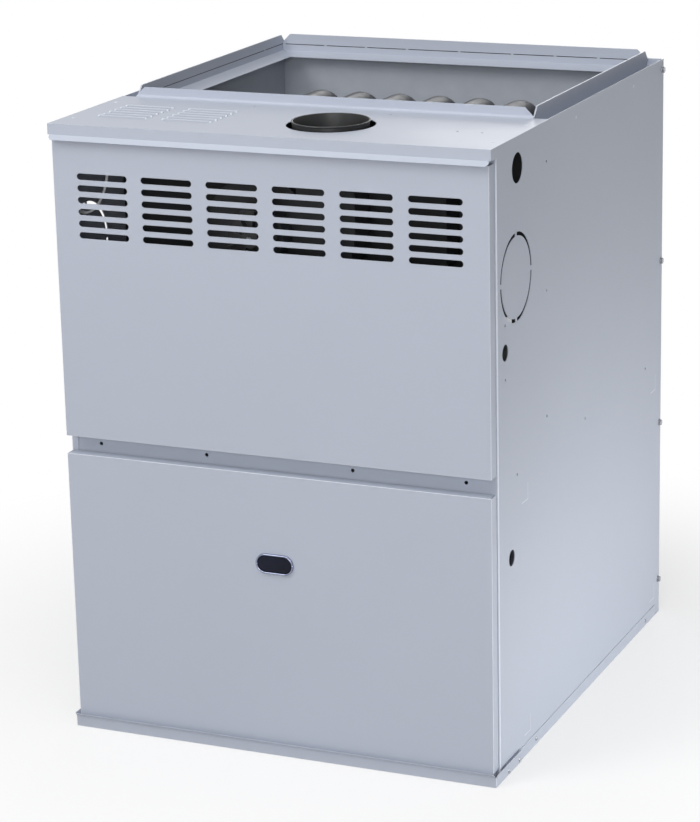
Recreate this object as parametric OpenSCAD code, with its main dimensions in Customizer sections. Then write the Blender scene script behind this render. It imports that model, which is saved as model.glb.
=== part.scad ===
// Forced air gas furnace, upflow, 80 percent class: casing, blower section and heating section.
// X runs across the doors, Y from the doors to the back, Z up from the floor. Millimetres.
// The origin is under the middle of the casing, on the floor.

/* [Casing] */
// Width across the two side panels
casing_w = 622; // [600:1:680]
// Depth from the door faces to the back of the casing
casing_d = 718; // [700:1:780]
// Height from the floor to the top of the casing, without the duct flanges
casing_h = 854; // [770:1:900]
// Thickness of the painted steel sheet
sheet = 1; // [0.8:0.1:1.2]
// Width of the returns along the casing's front edges
front_return = 10; // [8:1:12]
// Depth of the back panel's side flanges
back_flange = 15; // [12:1:18]
// Gap left between sheets that slide past each other
slip = 0.3; // [0.2:0.1:0.4]
// Depth and width of the scribed lines that mark the side return cut-out
scribe = 0.4; // [0.3:0.1:0.5]
// Length of each arm of a scribed corner mark
scribe_arm = 24; // [16:1:30]

/* [Base] */
// Height of the base front rail below its flared lip
base_h = 14; // [12:0.5:15]
// Height of the flared lip's free edge
base_lip_h = 20; // [19:0.5:22]
// How far the fascia and the base rail stand in front of the doors
proud = 3; // [2.5:0.5:4]
// How far the flared lips stand in front of the doors
lip_out = 8; // [7:0.5:10]
// Depth of the base front rail's floor flange
base_front_d = 40; // [32:1:48]
// Length of the base front rail's wrap along each side
base_wrap = 95; // [80:1:110]
// Height of the base side rails
base_side_h = 17; // [16:0.5:20]
// Width of the floor flange along each side
base_side_flange = 36; // [30:1:45]

/* [Duct flange] */
// Height of the front and side duct flanges above the casing
flange_up = 14; // [10:1:18]
// Height of the back duct flange above the casing
back_flange_up = 15.5; // [14:0.5:20]
// Depth of the channel beside the flange web below the casing's top edge
web_drop = 9.5; // [8:0.5:12]
// Depth of the sloping ledge's inner edge below the casing's top edge
ledge_drop = 15; // [13:0.5:18]
// Distance from the casing's side wall to the flange web
web_in_side = 19; // [16:0.5:24]
// Distance from the casing's back wall to the flange web
web_in_back = 18; // [16:0.5:20]
// How far the side webs run past the back web at the fold line
web_past = 7; // [5:0.5:9]
// Thickness of the folded web
web_t = 2; // [1.6:0.2:2.4]
// Width of the ledge inside the web
ledge_w = 23; // [18:1:28]
// Height of the rail's outer leg
rail_leg = 15; // [10:1:18]
// Height of the slots and grooves that let the flanges fold outward
fold_slot = 1.2; // [0.8:0.1:1.6]
// Depth of the fold grooves in the side webs' inner faces
fold_groove = 1.2; // [0.8:0.1:1.4]
// Distance of the bridges between the side fold grooves from the web's ends
fold_bridge_in = 72; // [60:1:90]
// Width of the bridges between the fold slots and grooves
fold_bridge = 4; // [3:0.5:6]

/* [Top pan] */
// Depth of the top pan, from the door faces to its rear upstand
pan_d = 214; // [208:1:222]
// Height of the pan's fascia and side flanges
pan_skirt = 14.5; // [12:0.5:16]
// Height of the pan's lip below the fascia
pan_lip = 6.5; // [6:0.5:9]
// Bend radius where the pan turns up into the front duct flange
pan_bend = 4; // [2:1:5]
// Diameter of the flue hole in the pan
flue_hole_dia = 118; // [112:1:122]
// Length of a vent slit in the pan
vent_len = 72; // [50:1:74]
// Number of vent slits in each group
vents = 6; // [3:1:6]
// Distance between vent slits
vent_pitch = 15.8; // [14:0.2:17]
// Height of the hood over a vent slit
vent_rise = 1.8; // [1.6:0.1:2.4]

/* [Doors] */
// Gap between a door's side and the casing's side
door_side_gap = 2.7; // [2:0.1:4]
// Depth of the door pans
door_t = 18; // [16:0.5:19]
// Clearance between the doors and the casing's front edges
door_seat = 0.6; // [0.4:0.1:0.8]
// Height of the lower door's bottom edge
lower_door_z = 15; // [14.5:0.1:15.5]
// Height of the lower door's top edge
lower_door_top = 399; // [396:1:402]
// Height of the recess between the doors
door_gap = 25; // [24:1:28]
// Clearance between the upper door's top edge and the pan's lip
upper_door_gap = 0.5; // [0.4:0.1:0.8]
// Length of a louvre slot in the upper door
louvre_len = 74; // [60:1:78]
// Height of a louvre slot
louvre_h = 8.8; // [6:0.1:10]
// Distance between louvre slots up the door
louvre_pitch = 15.87; // [14:0.1:17]
// Distance between louvre groups across the door
louvre_span = 94.4; // [90:0.1:96]
// Length of the sight glass rim
sight_len = 55; // [48:1:60]
// Height of the sight glass rim
sight_h = 28; // [24:1:32]
// How far the sight glass rim overlaps the door round its opening
sight_rim = 1.2; // [1:0.1:2]
// Wall of the sight glass rim's neck
sight_wall = 1.2; // [1:0.1:1.6]
// Height of the sight glass above the floor
sight_z = 274.5; // [260:0.5:290]

/* [Blower section] */
// Height of the blower deck
deck_z = 414; // [410:1:418]
// Diameter of the blower wheel
wheel_dia = 279; // [260:1:284]
// Width of the blower wheel
wheel_w = 254; // [220:1:262]
// Number of blades on the blower wheel
wheel_blades = 40; // [24:1:44]
// Smallest radius of the blower scroll
scroll_min = 152; // [148:1:156]
// Largest radius of the blower scroll
scroll_max = 212; // [204:1:216]
// Width of the blower housing
housing_w = 284; // [278:1:292]
// Diameter of the blower's inlets
inlet_dia = 244; // [220:1:250]
// Distance of the blower shaft from the door faces
blower_y = 330; // [320:1:350]
// Depth of the blower shaft below the deck
blower_drop = 214; // [208:1:216]
// Diameter of the blower motor
motor_dia = 140; // [120:1:144]
// Length of the blower motor
motor_len = 140; // [110:1:144]
// Diameter of the blower shaft
shaft_dia = 12.7; // [10:0.1:16]
// Radial running clearance of the shafts in their bearings
shaft_fit = 0.08; // [0.05:0.01:0.1]

/* [Heat exchanger] */
// Number of heat exchanger tubes
tubes = 6; // [6:1:6]
// Distance between the tubes
tube_pitch = 62; // [56:1:64]
// Outside diameter of a tube
tube_dia = 50; // [44:1:52]
// Wall of a tube
tube_wall = 1.2; // [1:0.1:1.5]
// Distance between a tube's passes
pass_pitch = 83; // [80:1:88]
// Depth of the top pass below the casing's top
top_pass_drop = 62; // [60:1:70]
// Length of the passes behind the vestibule panel
pass_len = 313; // [260:1:380]
// Thickness of the insulation
liner_t = 25; // [12:1:26]

/* [Inducer and flue] */
// Offset of the inducer's shaft from the middle of the casing
inducer_x = -32; // [-38:1:-28]
// Depth of the inducer's shaft below the casing's top
inducer_drop = 142; // [138:1:146]
// Distance of the inducer scroll's middle from the door faces
inducer_y = 99; // [96:1:102]
// Width of the inducer scroll
inducer_w = 50; // [44:1:54]
// Smallest radius of the inducer scroll
inducer_min = 66; // [63:1:68]
// Largest radius of the inducer scroll
inducer_max = 126; // [120:1:130]
// Diameter of the inducer wheel
inducer_wheel_dia = 116; // [100:1:118]
// Outside diameter of the flue collar
flue_dia = 101.6; // [95:0.1:106]
// Height of the flue collar above the pan
flue_rise = 6; // [4:1:20]

/* [Burners and gas] */
// Outside diameter of a burner's throat
throat_dia = 26; // [22:1:28]
// Outside diameter of a burner's mouth
mouth_dia = 34; // [30:1:38]
// Outside diameter of the gas manifold pipe
manifold_dia = 21.3; // [18:0.1:24]
// Length of a burner's throat and of the carry-over strips
throat_len = 14; // [10:1:16]
// Distance of a burner's waist behind its throat
waist_back = 38; // [30:1:44]
// Length of a burner's mouth
mouth_len = 30; // [20:1:34]
// Distance of the manifold pipe from the door faces
manifold_y = 55; // [50:1:58]
// Half the height of the burner bracket
bracket_half = 34; // [32:1:38]

/* [Side openings] */
// Diameter of the gas pipe hole
gas_hole_dia = 40; // [30:0.5:42]
// Diameter of the wiring holes
wire_hole_dia = 22.2; // [18:0.1:26]
// Diameter of the side vent knock-out
knockout_dia = 118; // [105:1:120]
// Width of the knock-out's slot
knockout_slot = 5; // [2:0.5:6]
// Width of the bridges that hold the knock-out
knockout_bridge = 5.5; // [4:0.5:8]
// Diameter of the assembly screw holes
pilot_dia = 4; // [3.6:0.1:4.2]

/* [Hidden] */
$fn = 48;

// Skin of extra length that makes a cutting solid pass through a face
cut = 1;

// Casing
half_w = casing_w / 2;
wall_x = half_w - sheet;
inner_x = wall_x - 0.1;
overall_d = casing_d + lip_out;
door_y = lip_out - overall_d / 2;
frame_y = door_t + door_seat;
back_y = casing_d - sheet;
floor_t = 1.2;
panel_z = floor_t;
top_in_z = casing_h - sheet;
back_flange_y = back_y - back_flange;

// Duct flange rails
channel_z = casing_h - web_drop;
ledge_z = casing_h - ledge_drop;
flange_top = casing_h + flange_up;
back_flange_top = casing_h + back_flange_up;
web_out_x = wall_x - web_in_side;
web_x = web_out_x - web_t;
ledge_x = web_x - ledge_w;
web_back_out = back_y - web_in_back;
web_back = web_back_out - web_t;
rail_start = pan_d + sheet + slip;
rail_end = web_back - slip;
corner_open = 8;
ledge_w_in = web_x - ledge_x;
fold_bridge_x = [-218, -151, -84, 0, 84, 151, 218];

// Doors
door_half = half_w - door_side_gap;
upper_door_z = lower_door_top + door_gap;
pan_skirt_z = casing_h - pan_skirt;
upper_door_top = pan_skirt_z - pan_lip - upper_door_gap;
louvre_groups = 6;
louvre_rows = 6;
louvre_top_drop = 47.9;
sight_x = -1;
sight_out = 3;

// Middle rail and deck
rail_face_y = frame_y + sheet + 0.4;
rail_mid_z = lower_door_top + door_gap / 2;
rail_half_h = 15.5;
rail_bottom_z = rail_mid_z - rail_half_h;
rail_top_flange = 12;
rail_bottom_flange = 28;
rail_hole_x = [-266, -106.5, 106.5, 266];
deck_flange = 16;
deck_y = rail_face_y + sheet;
deck_half = inner_x - slip;

// Vestibule panel, under the foot of the pan's upstand
vestibule_y = pan_d + sheet;
vestibule_front = vestibule_y - sheet;

// Side panel features, as [distance from the door faces, height]
deck_screw_z = deck_z - 8;
deck_screw_first = 88.7;
deck_screw_last = casing_d - 78.3;
deck_screws = [for (i = [0:2])
    [deck_screw_first + i * (deck_screw_last - deck_screw_first) / 2, deck_screw_z]];
vestibule_screw_y = vestibule_y - 9.5;
vestibule_screw_low = deck_z + 39.6;
vestibule_screw_high = casing_h - 54;
vestibule_screws = [for (i = [0:2])
    [vestibule_screw_y, vestibule_screw_low + i * (vestibule_screw_high - vestibule_screw_low) / 2]];
rear_screw_y = casing_d - 7;
rear_screw_low = 54;
rear_screw_pitch = 250;
rear_screw_top = 15;
rear_screws = [for (z = [rear_screw_low, rear_screw_low + rear_screw_pitch,
    rear_screw_low + 2 * rear_screw_pitch, casing_h - rear_screw_top]) [rear_screw_y, z]];
gas_hole_drop = 41.5;
gas_hole = [95, casing_h - gas_hole_drop];
line_hole_drop = 272.8;
line_hole = [46.8, casing_h - line_hole_drop];
signal_hole_z = 298;
signal_hole = [67, signal_hole_z];
knockout_drop = 183;
knockout_at = [88.9, casing_h - knockout_drop];
box_screw_gap = 36;
box_screws = [for (s = [-1, 1]) [line_hole[0], line_hole[1] + s * box_screw_gap]];
mark_high = deck_z - 54;
mark_low = 28.5;
return_marks = [[130, mark_high], [casing_d - 27, mark_high], [136, mark_low], [casing_d - 25, mark_low]];
base_rivet_front = [[45, 5], [86.5, 5]];
base_rivet_rear = [[156, 8], [casing_d - 71.5, 8]];

// Vents and small holes in the top pan, as distances from the middle and from the door faces
vent_group_x = [-234, -139];
vent_first_y = 64;
pan_hole_r = 1.9;
pan_hole_y = pan_d - 26.5;
pan_holes = [[-99.7, pan_hole_y], [99.7, pan_hole_y], [228.3, 99.5], [262, 99.5]];

// Flue and inducer
flue_x = inducer_x + (inducer_max + inducer_min * cos(50)) / 2;
flue_hole_r = flue_hole_dia / 2;
inducer_z = casing_h - inducer_drop;
inducer_front = inducer_y - inducer_w / 2;
inducer_back = inducer_y + inducer_w / 2;
inducer_out_h = 78;
inducer_skin = 1.5;
inducer_shaft_r = 4;
collector_front = vestibule_front - 49;
collector_z = inducer_z - 52;
collector_top = casing_h - 30;
collector_half = 186;
collector_flange = 12;
neck_r = 44;

// Heat exchanger
tube_r = tube_dia / 2;
top_pass_z = casing_h - top_pass_drop;
burner_z = top_pass_z - 3 * pass_pitch;
bend_r = pass_pitch / 2;
rear_bend_y = vestibule_y + pass_len;
front_bend_y = vestibule_y + bend_r + tube_r + 18;
tube_mid = (tubes + 1) / 2;
vestibule_flange = 15;

// Blower
blower_z = deck_z - blower_drop;
cutoff_angle = 75;
blower_out_u = scroll_min * cos(cutoff_angle);
blower_skin = 1.2;
housing_half = housing_w / 2;
deck_under = deck_z - sheet;
shaft_r = shaft_dia / 2;
motor_end_x = -178;
motor_front_x = motor_end_x + motor_len;
motor_core = 60;
shaft_in = 60.2;
hub_r = 22;
hub_len = 44;

// Burners
bracket_front = 95;
bracket_half_w = 195;
mouth_y = vestibule_front - 14;
throat_y = bracket_front - 3;

// Electrical parts
control_y = 88;
control_half_w = 160;
control_bottom = 180;
board_gap = 6;
switch_x = 135;
switch_top = rail_bottom_z;

// Pressure hose, from the pressure switch to the collector tap. The points between the two ports are
// measured from the middle, from the door faces and from the casing's top.
hose_r = 1.9;
switch_port = [-245, vestibule_front - 36, casing_h - 254];
tap_port = [-125, collector_front - 10, casing_h - 64];
hose_points = [
    [-249, 154, -253.5], [-258, 136, -252], [-271, 114, -248], [-284, 92, -240], [-294, 72, -227],
    [-300, 56, -208], [-302, 48, -188], [-302.5, 44, -168], [-302, 42, -150], [-299.5, 40.5, -135],
    [-296, 40, -128.3], [-291, 40, -126.6], [-285.4, 40, -127.2], [-279, 40, -125.8], [-273.5, 40, -123],
    [-268.6, 40, -119.2], [-264.6, 40, -114.6], [-260.2, 40, -107.4], [-255.8, 40, -98.4],
    [-253, 40, -91], [-250.6, 40, -82], [-249.2, 40, -74.5], [-247.6, 41, -64], [-244, 44, -54],
    [-236, 49, -45], [-222, 55, -39], [-204, 61, -37], [-184, 69, -38], [-164, 82, -41],
    [-147, 101, -46], [-134, 123, -53], [-127, 141, -60]];
hose_route = concat([switch_port, switch_port - [0, 10, 0]],
    [for (p = hose_points) [p[0], p[1], casing_h + p[2]]],
    [tap_port - [0, 6, 0], tap_port]);

// Colours
paint = [0.72, 0.74, 0.79];
zinc = [0.66, 0.68, 0.70];
foil = [0.50, 0.52, 0.56];
black = [0.09, 0.10, 0.11];
brass = [0.78, 0.63, 0.30];
white = [0.93, 0.94, 0.95];

// Helpers. Places are measured from the door faces, and from_doors() sets them in the frame.
module from_doors() translate([0, door_y, 0]) children();
module block(x0, x1, y0, y1, z0, z1) translate([x0, y0, z0]) cube([x1 - x0, y1 - y0, z1 - z0]);
module rod_x(r, x0, x1, y, z) translate([x0, y, z]) rotate([0, 90, 0]) cylinder(r = r, h = x1 - x0);
module rod_y(r, y0, y1, x, z) translate([x, y0, z]) rotate([-90, 0, 0]) cylinder(r = r, h = y1 - y0);
module rod_z(r, z0, z1, x, y) translate([x, y, z0]) cylinder(r = r, h = z1 - z0);
module along_x(x0, x1) translate([x0, 0, 0]) rotate([90, 0, 90]) linear_extrude(x1 - x0) children();
module along_y(y0, y1) translate([0, y1, 0]) rotate([90, 0, 0]) linear_extrude(y1 - y0) children();
module along_z(z0, z1) translate([0, 0, z0]) linear_extrude(z1 - z0) children();
module on_left() mirror([1, 0, 0]) children();

// A slot with round ends, cut through along Y
module slot_y(len, h, y0, y1, x, z) {
    half = (len - h) / 2;
    block(x - half, x + half, y0, y1, z - h / 2, z + h / 2);
    for (s = [-1, 1])
        rod_y(h / 2, y0, y1, x + s * half, z);
}

// A hexagon head with a washer face, standing on the YZ plane at x, pointing along +X
module hex_head(x, y, z, across, h, washer_r) {
    translate([x, y, z]) rotate([0, 90, 0]) {
        cylinder(r = washer_r, h = 1);
        cylinder(r = across / sqrt(3), h = h, $fn = 6);
    }
}

// Outline of a scroll round the origin with its outlet upward on the +u side
function scroll_points(r0, r1, a0, h, skin) = concat(
    [[r1 - skin, h], [r0 * cos(a0) + skin, h]],
    [for (i = [0:24]) let (a = a0 + (360 - a0) * i / 24, r = r0 + (r1 - r0) * i / 24 - skin)
        [i == 0 ? r0 * cos(a0) + skin : r * cos(a), r * sin(a)]]);

// Sweep of a round tube along a list of points
function unit(v) = v / norm(v);
function tangent(p, i) = unit(p[min(i + 1, len(p) - 1)] - p[max(i - 1, 0)]);
function ring(c, t, r, n) = let (a = unit(cross(t, [0.31, 0.2, 1])), b = cross(t, a))
    [for (k = [0:n - 1]) c + r * cos(360 * k / n) * a + r * sin(360 * k / n) * b];
module sweep_tube(p, r, n) {
    m = len(p);
    rings = [for (i = [0:m - 1]) ring(p[i], i == 0 || i == m - 1 ? [0, i == 0 ? -1 : 1, 0]
        : tangent(p, i), r, n)];
    verts = [for (q = rings) each q];
    sides = [for (i = [0:m - 2]) for (k = [0:n - 1])
        [i * n + k, i * n + (k + 1) % n, (i + 1) * n + (k + 1) % n, (i + 1) * n + k]];
    first = [for (k = [n - 1:-1:0]) k];
    last = [for (k = [0:n - 1]) (m - 1) * n + k];
    polyhedron(verts, concat(sides, [first, last]), convexity = 4);
}

// Casing shell

module side_sheet() {
    difference() {
        union() {
            block(wall_x, half_w, frame_y, casing_d, panel_z, casing_h);
            block(half_w - front_return, half_w, frame_y, frame_y + sheet, panel_z, casing_h);
        }
        block(half_w - front_return - cut, half_w + cut, frame_y - cut, rail_start,
            top_in_z - slip, casing_h + cut);
        rod_x(gas_hole_dia / 2, wall_x - cut, half_w + cut, gas_hole[0], gas_hole[1]);
        for (p = [line_hole, signal_hole])
            rod_x(wire_hole_dia / 2, wall_x - cut, half_w + cut, p[0], p[1]);
        for (p = concat(deck_screws, vestibule_screws, rear_screws, box_screws))
            rod_x(pilot_dia / 2, wall_x - cut, half_w + cut, p[0], p[1]);
        knockout_cut();
        for (p = return_marks)
            scribe_mark(p[0], p[1]);
    }
}

module knockout_cut() {
    r = knockout_dia / 2;
    half = knockout_bridge / 2;
    difference() {
        rod_x(r, wall_x - cut, half_w + cut, knockout_at[0], knockout_at[1]);
        rod_x(r - knockout_slot, wall_x - 2 * cut, half_w + 2 * cut, knockout_at[0], knockout_at[1]);
        block(wall_x - 2 * cut, half_w + 2 * cut, knockout_at[0] - r - cut, knockout_at[0] + r + cut,
            knockout_at[1] - half, knockout_at[1] + half);
        block(wall_x - 2 * cut, half_w + 2 * cut, knockout_at[0] - half, knockout_at[0] + half,
            knockout_at[1] - r - cut, knockout_at[1] + r + cut);
    }
}

module scribe_mark(y, z) {
    w = 1.6;
    block(half_w - scribe, half_w + cut, y - w, y, z, z + scribe_arm);
    block(half_w - scribe, half_w + cut, y - scribe_arm, y, z, z + w);
}

module right_side_panel() color(paint) from_doors() side_sheet();
module left_side_panel() color(paint) from_doors() on_left() side_sheet();

module back_panel() color(paint) from_doors() {
    foot_x = wall_x - base_side_flange + sheet;
    difference() {
        union() {
            block(-inner_x, inner_x, back_y, casing_d, 0, casing_h);
            for (s = [-1, 1])
                block(s > 0 ? inner_x - sheet : -inner_x, s > 0 ? inner_x : sheet - inner_x,
                    back_flange_y, casing_d, panel_z, casing_h);
            block(-foot_x, foot_x, back_y - base_side_flange, casing_d, 0, sheet);
        }
        for (p = rear_screws)
            rod_x(pilot_dia / 2, -half_w, half_w, p[0], p[1]);
    }
}

module pan_profile() {
    flat_end = pan_d - pan_bend;
    rise_z = casing_h + pan_bend;
    outer_bend = [for (a = [0:15:90]) [flat_end + pan_bend * sin(a), rise_z - pan_bend * cos(a)]];
    under_r = pan_bend + sheet;
    under_bend = [for (a = [90:-15:0]) [flat_end + under_r * sin(a), rise_z - under_r * cos(a)]];
    lip_z = pan_skirt_z - pan_lip;
    polygon(concat(
        [[-lip_out, lip_z], [-proud, pan_skirt_z], [-proud, casing_h]], outer_bend,
        [[pan_d, flange_top], [pan_d + sheet, flange_top]], under_bend,
        [[sheet - proud, top_in_z], [sheet - proud, pan_skirt_z], [1.3 * sheet - lip_out, lip_z]]));
}

// Front view of the pan: fascia with open corners and a cut lip below, cut ends on the upstand above
module pan_front_outline() {
    top_x = half_w + sheet + 0.2;
    fascia_x = half_w - 1.4;
    lip_z = pan_skirt_z - pan_lip;
    lip_cut = 3;
    fold_z = casing_h + 1.5;
    tip_x = web_out_x - flange_top + fold_z;
    polygon([[lip_cut - fascia_x, lip_z], [fascia_x - lip_cut, lip_z], [fascia_x, lip_z + lip_cut],
        [fascia_x, top_in_z], [top_x, top_in_z], [top_x, casing_h + 0.1], [web_out_x, casing_h + 0.1],
        [web_out_x, fold_z], [tip_x, flange_top], [-tip_x, flange_top], [-web_out_x, fold_z],
        [-web_out_x, casing_h + 0.1], [-top_x, casing_h + 0.1], [-top_x, top_in_z], [-fascia_x, top_in_z],
        [-fascia_x, lip_z + lip_cut]]);
}

module vent_slits(body) {
    slit_half = vent_len / 2 - 1;
    for (gx = vent_group_x)
        for (i = [0:vents - 1]) {
            y = vent_first_y + i * vent_pitch;
            if (body)
                vent_hood(gx, y);
            else
                block(gx - slit_half, gx + slit_half, y - 3.4, y + 0.3, top_in_z - cut, casing_h + cut);
        }
}

// A lanced hood that slopes up from the door side and opens to the back
module vent_hood(x, y) {
    tip = casing_h + vent_rise;
    under = tip - 0.9;
    foot = casing_h - 0.4;
    along_x(x - vent_len / 2, x + vent_len / 2)
        polygon([[y - 5.2, foot], [y - 0.6, tip], [y + 0.4, tip], [y + 0.4, under], [y - 0.3, under],
            [y - 3.2, foot]]);
    for (s = [-1, 1])
        along_x(x + s * (vent_len / 2 - 0.5) - 0.5, x + s * (vent_len / 2 - 0.5) + 0.5)
            polygon([[y - 4.8, foot], [y - 0.8, tip - 0.1], [y + 0.4, tip - 0.1], [y + 1.2, foot]]);
}

module top_pan() color(paint) from_doors() {
    side_x = half_w + 0.2;
    difference() {
        union() {
            intersection() {
                along_x(-half_w - 5, half_w + 5) pan_profile();
                along_y(-lip_out - cut, pan_d + 5) pan_front_outline();
            }
            for (s = [0, 1])
                mirror([s, 0, 0])
                    block(side_x, side_x + sheet, -proud, pan_d, pan_skirt_z, casing_h);
        }
        vent_slits(false);
        for (p = pan_holes)
            rod_z(pan_hole_r, top_in_z - cut, casing_h + cut, p[0], p[1]);
        rod_z(flue_hole_r, top_in_z - cut, casing_h + cut, flue_x, inducer_y);
        // Behind the flat part the corners beside the upstand are open for the side flange rails
        for (s = [0, 1])
            mirror([s, 0, 0])
                block(web_out_x + 0.1, half_w + 5, pan_d, pan_d + 6, top_in_z - cut, flange_top + cut);
    }
    vent_slits(true);
}

// Base

module base_front_rail() color(paint) from_doors() {
    corner_x = half_w + 2 * sheet;
    shelf_z = lower_door_z - slip;
    wrap_lip = 2.4;
    intersection() {
        along_x(-corner_x, corner_x)
            polygon([[base_front_d, 0], [-proud, 0], [-proud, base_h], [-lip_out, base_lip_h],
                [1.3 * floor_t - lip_out, base_lip_h], [floor_t - proud, base_h],
                [floor_t - proud, floor_t], [base_front_d, floor_t]]);
        along_y(-lip_out - cut, base_front_d + cut)
            polygon([[-corner_x, 0], [corner_x, 0], [corner_x, base_h], [corner_x - 3, base_lip_h],
                [3 - corner_x, base_lip_h], [-corner_x, base_h]]);
    }
    // Shelf behind the lip on which the lower door stands
    along_x(-door_half, door_half)
        polygon([[door_t, 0.5], [door_t, shelf_z], [1, shelf_z], [1, shelf_z - 1],
            [door_t - 1, shelf_z - 1], [door_t - 1, 0.5]]);
    for (s = [0, 1])
        mirror([s, 0, 0])
            difference() {
                along_y(0.5 - proud, base_wrap)
                    polygon([[corner_x - sheet, 0], [corner_x, 0], [corner_x, base_h],
                        [corner_x + wrap_lip, base_lip_h - 1], [corner_x + wrap_lip - 1, base_lip_h - 1],
                        [corner_x - sheet, base_h]]);
                translate([half_w, base_wrap, base_h]) rotate([45, 0, 0])
                    block(-5, 10, 0, 30, 0, 30);
                for (p = base_rivet_front)
                    rod_x(pilot_dia / 2, half_w, corner_x + cut, p[0], p[1]);
            }
}

module base_side_rail() {
    outer_x = half_w + sheet;
    rear_notch = 22;
    difference() {
        union() {
            block(outer_x - sheet, outer_x, base_front_d + slip, back_y - rear_notch, 0, base_side_h);
            block(outer_x - base_side_flange, outer_x, base_front_d + slip, back_y - 0.2, 0, sheet);
        }
        for (p = concat(base_rivet_front, base_rivet_rear))
            rod_x(pilot_dia / 2, half_w - cut, outer_x + cut, p[0], p[1]);
    }
}

module base_right_rail() color(paint) from_doors() base_side_rail();
module base_left_rail() color(paint) from_doors() on_left() base_side_rail();

// Rivets through the base rails, with low domed heads outside
module base_rivets() color(zinc) from_doors()
    for (s = [0, 1])
        mirror([s, 0, 0]) {
            for (p = base_rivet_front)
                rivet(half_w + 2 * sheet, half_w + 0.1, p);
            for (p = base_rivet_rear)
                rivet(half_w + sheet, half_w + 0.1, p);
        }

module rivet(face_x, tail_x, p) {
    rod_x(pilot_dia / 2 - 0.1, tail_x, face_x + 0.2, p[0], p[1]);
    translate([face_x, p[0], p[1]]) rotate([0, 90, 0]) {
        cylinder(r = 3, h = 0.5);
        translate([0, 0, 0.5]) cylinder(r1 = 3, r2 = 1.6, h = 0.6);
    }
}

// Screws that hold the side panels to the back panel
module casing_screws() color(zinc) from_doors()
    for (s = [0, 1])
        mirror([s, 0, 0])
            for (p = rear_screws) {
                hex_head(half_w, p[0], p[1], 8, 4, 5.6);
                rod_x(pilot_dia / 2 - 0.1, half_w - 8, half_w + 0.5, p[0], p[1]);
            }

// Duct flange rails round the supply opening

// Section of a rail's channel floor and its ledge, which slopes down to the inner edge
module ledge_section(edge, web, wall) polygon([[edge, ledge_z - sheet], [web, channel_z - sheet],
    [wall, channel_z - sheet], [wall, channel_z], [web, channel_z], [edge, ledge_z]]);

module flange_side_rail() {
    slot_z = casing_h - fold_slot / 2;
    leaf_end = web_back_out + web_past;
    under_z = max(channel_z + 0.2, casing_h - (leaf_end - rail_end));
    near = fold_bridge_in + fold_bridge;
    slots = [[rail_start + 4, rail_start + fold_bridge_in], [rail_start + near, leaf_end - near],
        [leaf_end - fold_bridge_in, leaf_end - 4]];
    intersection() {
        along_y(rail_start, rail_end) ledge_section(ledge_x, web_x, inner_x);
        along_z(ledge_z - 5, casing_h)
            polygon([[ledge_x, rail_start - cut], [inner_x, rail_start - cut], [inner_x, rail_end],
                [web_x, rail_end], [ledge_x, rail_end - ledge_w_in]]);
    }
    difference() {
        along_x(web_x, web_out_x)
            polygon([[rail_start, channel_z - 0.5], [rail_start, casing_h],
                [rail_start + flange_up - 1, flange_top], [leaf_end - flange_up, flange_top],
                [leaf_end, casing_h], [rail_end, under_z], [rail_end, channel_z - 0.5]]);
        for (p = slots)
            block(web_x - cut, web_x + fold_groove, p[0], p[1], slot_z, slot_z + fold_slot);
    }
    block(inner_x - sheet, inner_x, rail_start, rail_end, channel_z - rail_leg, channel_z);
}

module duct_flange_right() color(paint) from_doors() flange_side_rail();
module duct_flange_left() color(paint) from_doors() on_left() flange_side_rail();

module duct_flange_back() color(paint) from_doors() {
    near_y = rail_end + 0.4;
    web_half = web_x - 0.2;
    lip_y = near_y - ledge_w_in;
    rear_y = back_y - 0.1;
    corner_x = wall_x - corner_open;
    slot_z = casing_h - fold_slot / 2;
    end_cut = 12;
    half = fold_bridge / 2;
    bridges = concat([-web_half + half], fold_bridge_x, [web_half - half]);
    intersection() {
        along_x(-corner_x, corner_x) ledge_section(lip_y, near_y, rear_y);
        along_z(ledge_z - 5, casing_h)
            polygon([[-ledge_x, lip_y], [ledge_x, lip_y], [web_x, near_y], [corner_x + cut, near_y],
                [corner_x + cut, rear_y + cut], [-corner_x - cut, rear_y + cut], [-corner_x - cut, near_y],
                [-web_x, near_y]]);
    }
    difference() {
        along_y(web_back, web_back_out)
            polygon([[-web_half, channel_z - 0.5], [web_half, channel_z - 0.5],
                [web_half, back_flange_top - end_cut], [web_half - end_cut, back_flange_top],
                [end_cut - web_half, back_flange_top], [-web_half, back_flange_top - end_cut]]);
        for (i = [1:len(bridges) - 1])
            block(bridges[i - 1] + half, bridges[i] - half, web_back - cut, web_back_out + cut, slot_z,
                slot_z + fold_slot);
    }
    block(-corner_x, corner_x, rear_y - sheet, rear_y, channel_z - rail_leg, channel_z);
}

// Doors

module door_shell(z0, z1) {
    slit = 1.2;
    difference() {
        block(-door_half, door_half, 0, door_t, z0, z1);
        block(sheet - door_half, door_half - sheet, sheet, door_t + cut, z0 + sheet, z1 - sheet);
        // Open slits at the corners, where the folded flanges meet
        for (s = [0, 1])
            mirror([s, 0, 0])
                for (z = [z0, z1])
                    block(door_half - sheet - slit, door_half - sheet, 2, door_t + cut, z - 1.5, z + 1.5);
    }
}

module upper_door() color(paint) from_doors()
    difference() {
        door_shell(upper_door_z, upper_door_top);
        for (g = [0:louvre_groups - 1])
            for (i = [0:louvre_rows - 1])
                slot_y(louvre_len, louvre_h, -cut, sheet + cut,
                    (g - (louvre_groups - 1) / 2) * louvre_span,
                    upper_door_top - louvre_top_drop - i * louvre_pitch);
    }

module lower_door() color(paint) from_doors()
    difference() {
        door_shell(lower_door_z, lower_door_top);
        slot_y(sight_len - 2 * sight_rim, sight_h - 2 * sight_rim, -cut, sheet + cut, sight_x, sight_z);
    }

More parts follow.
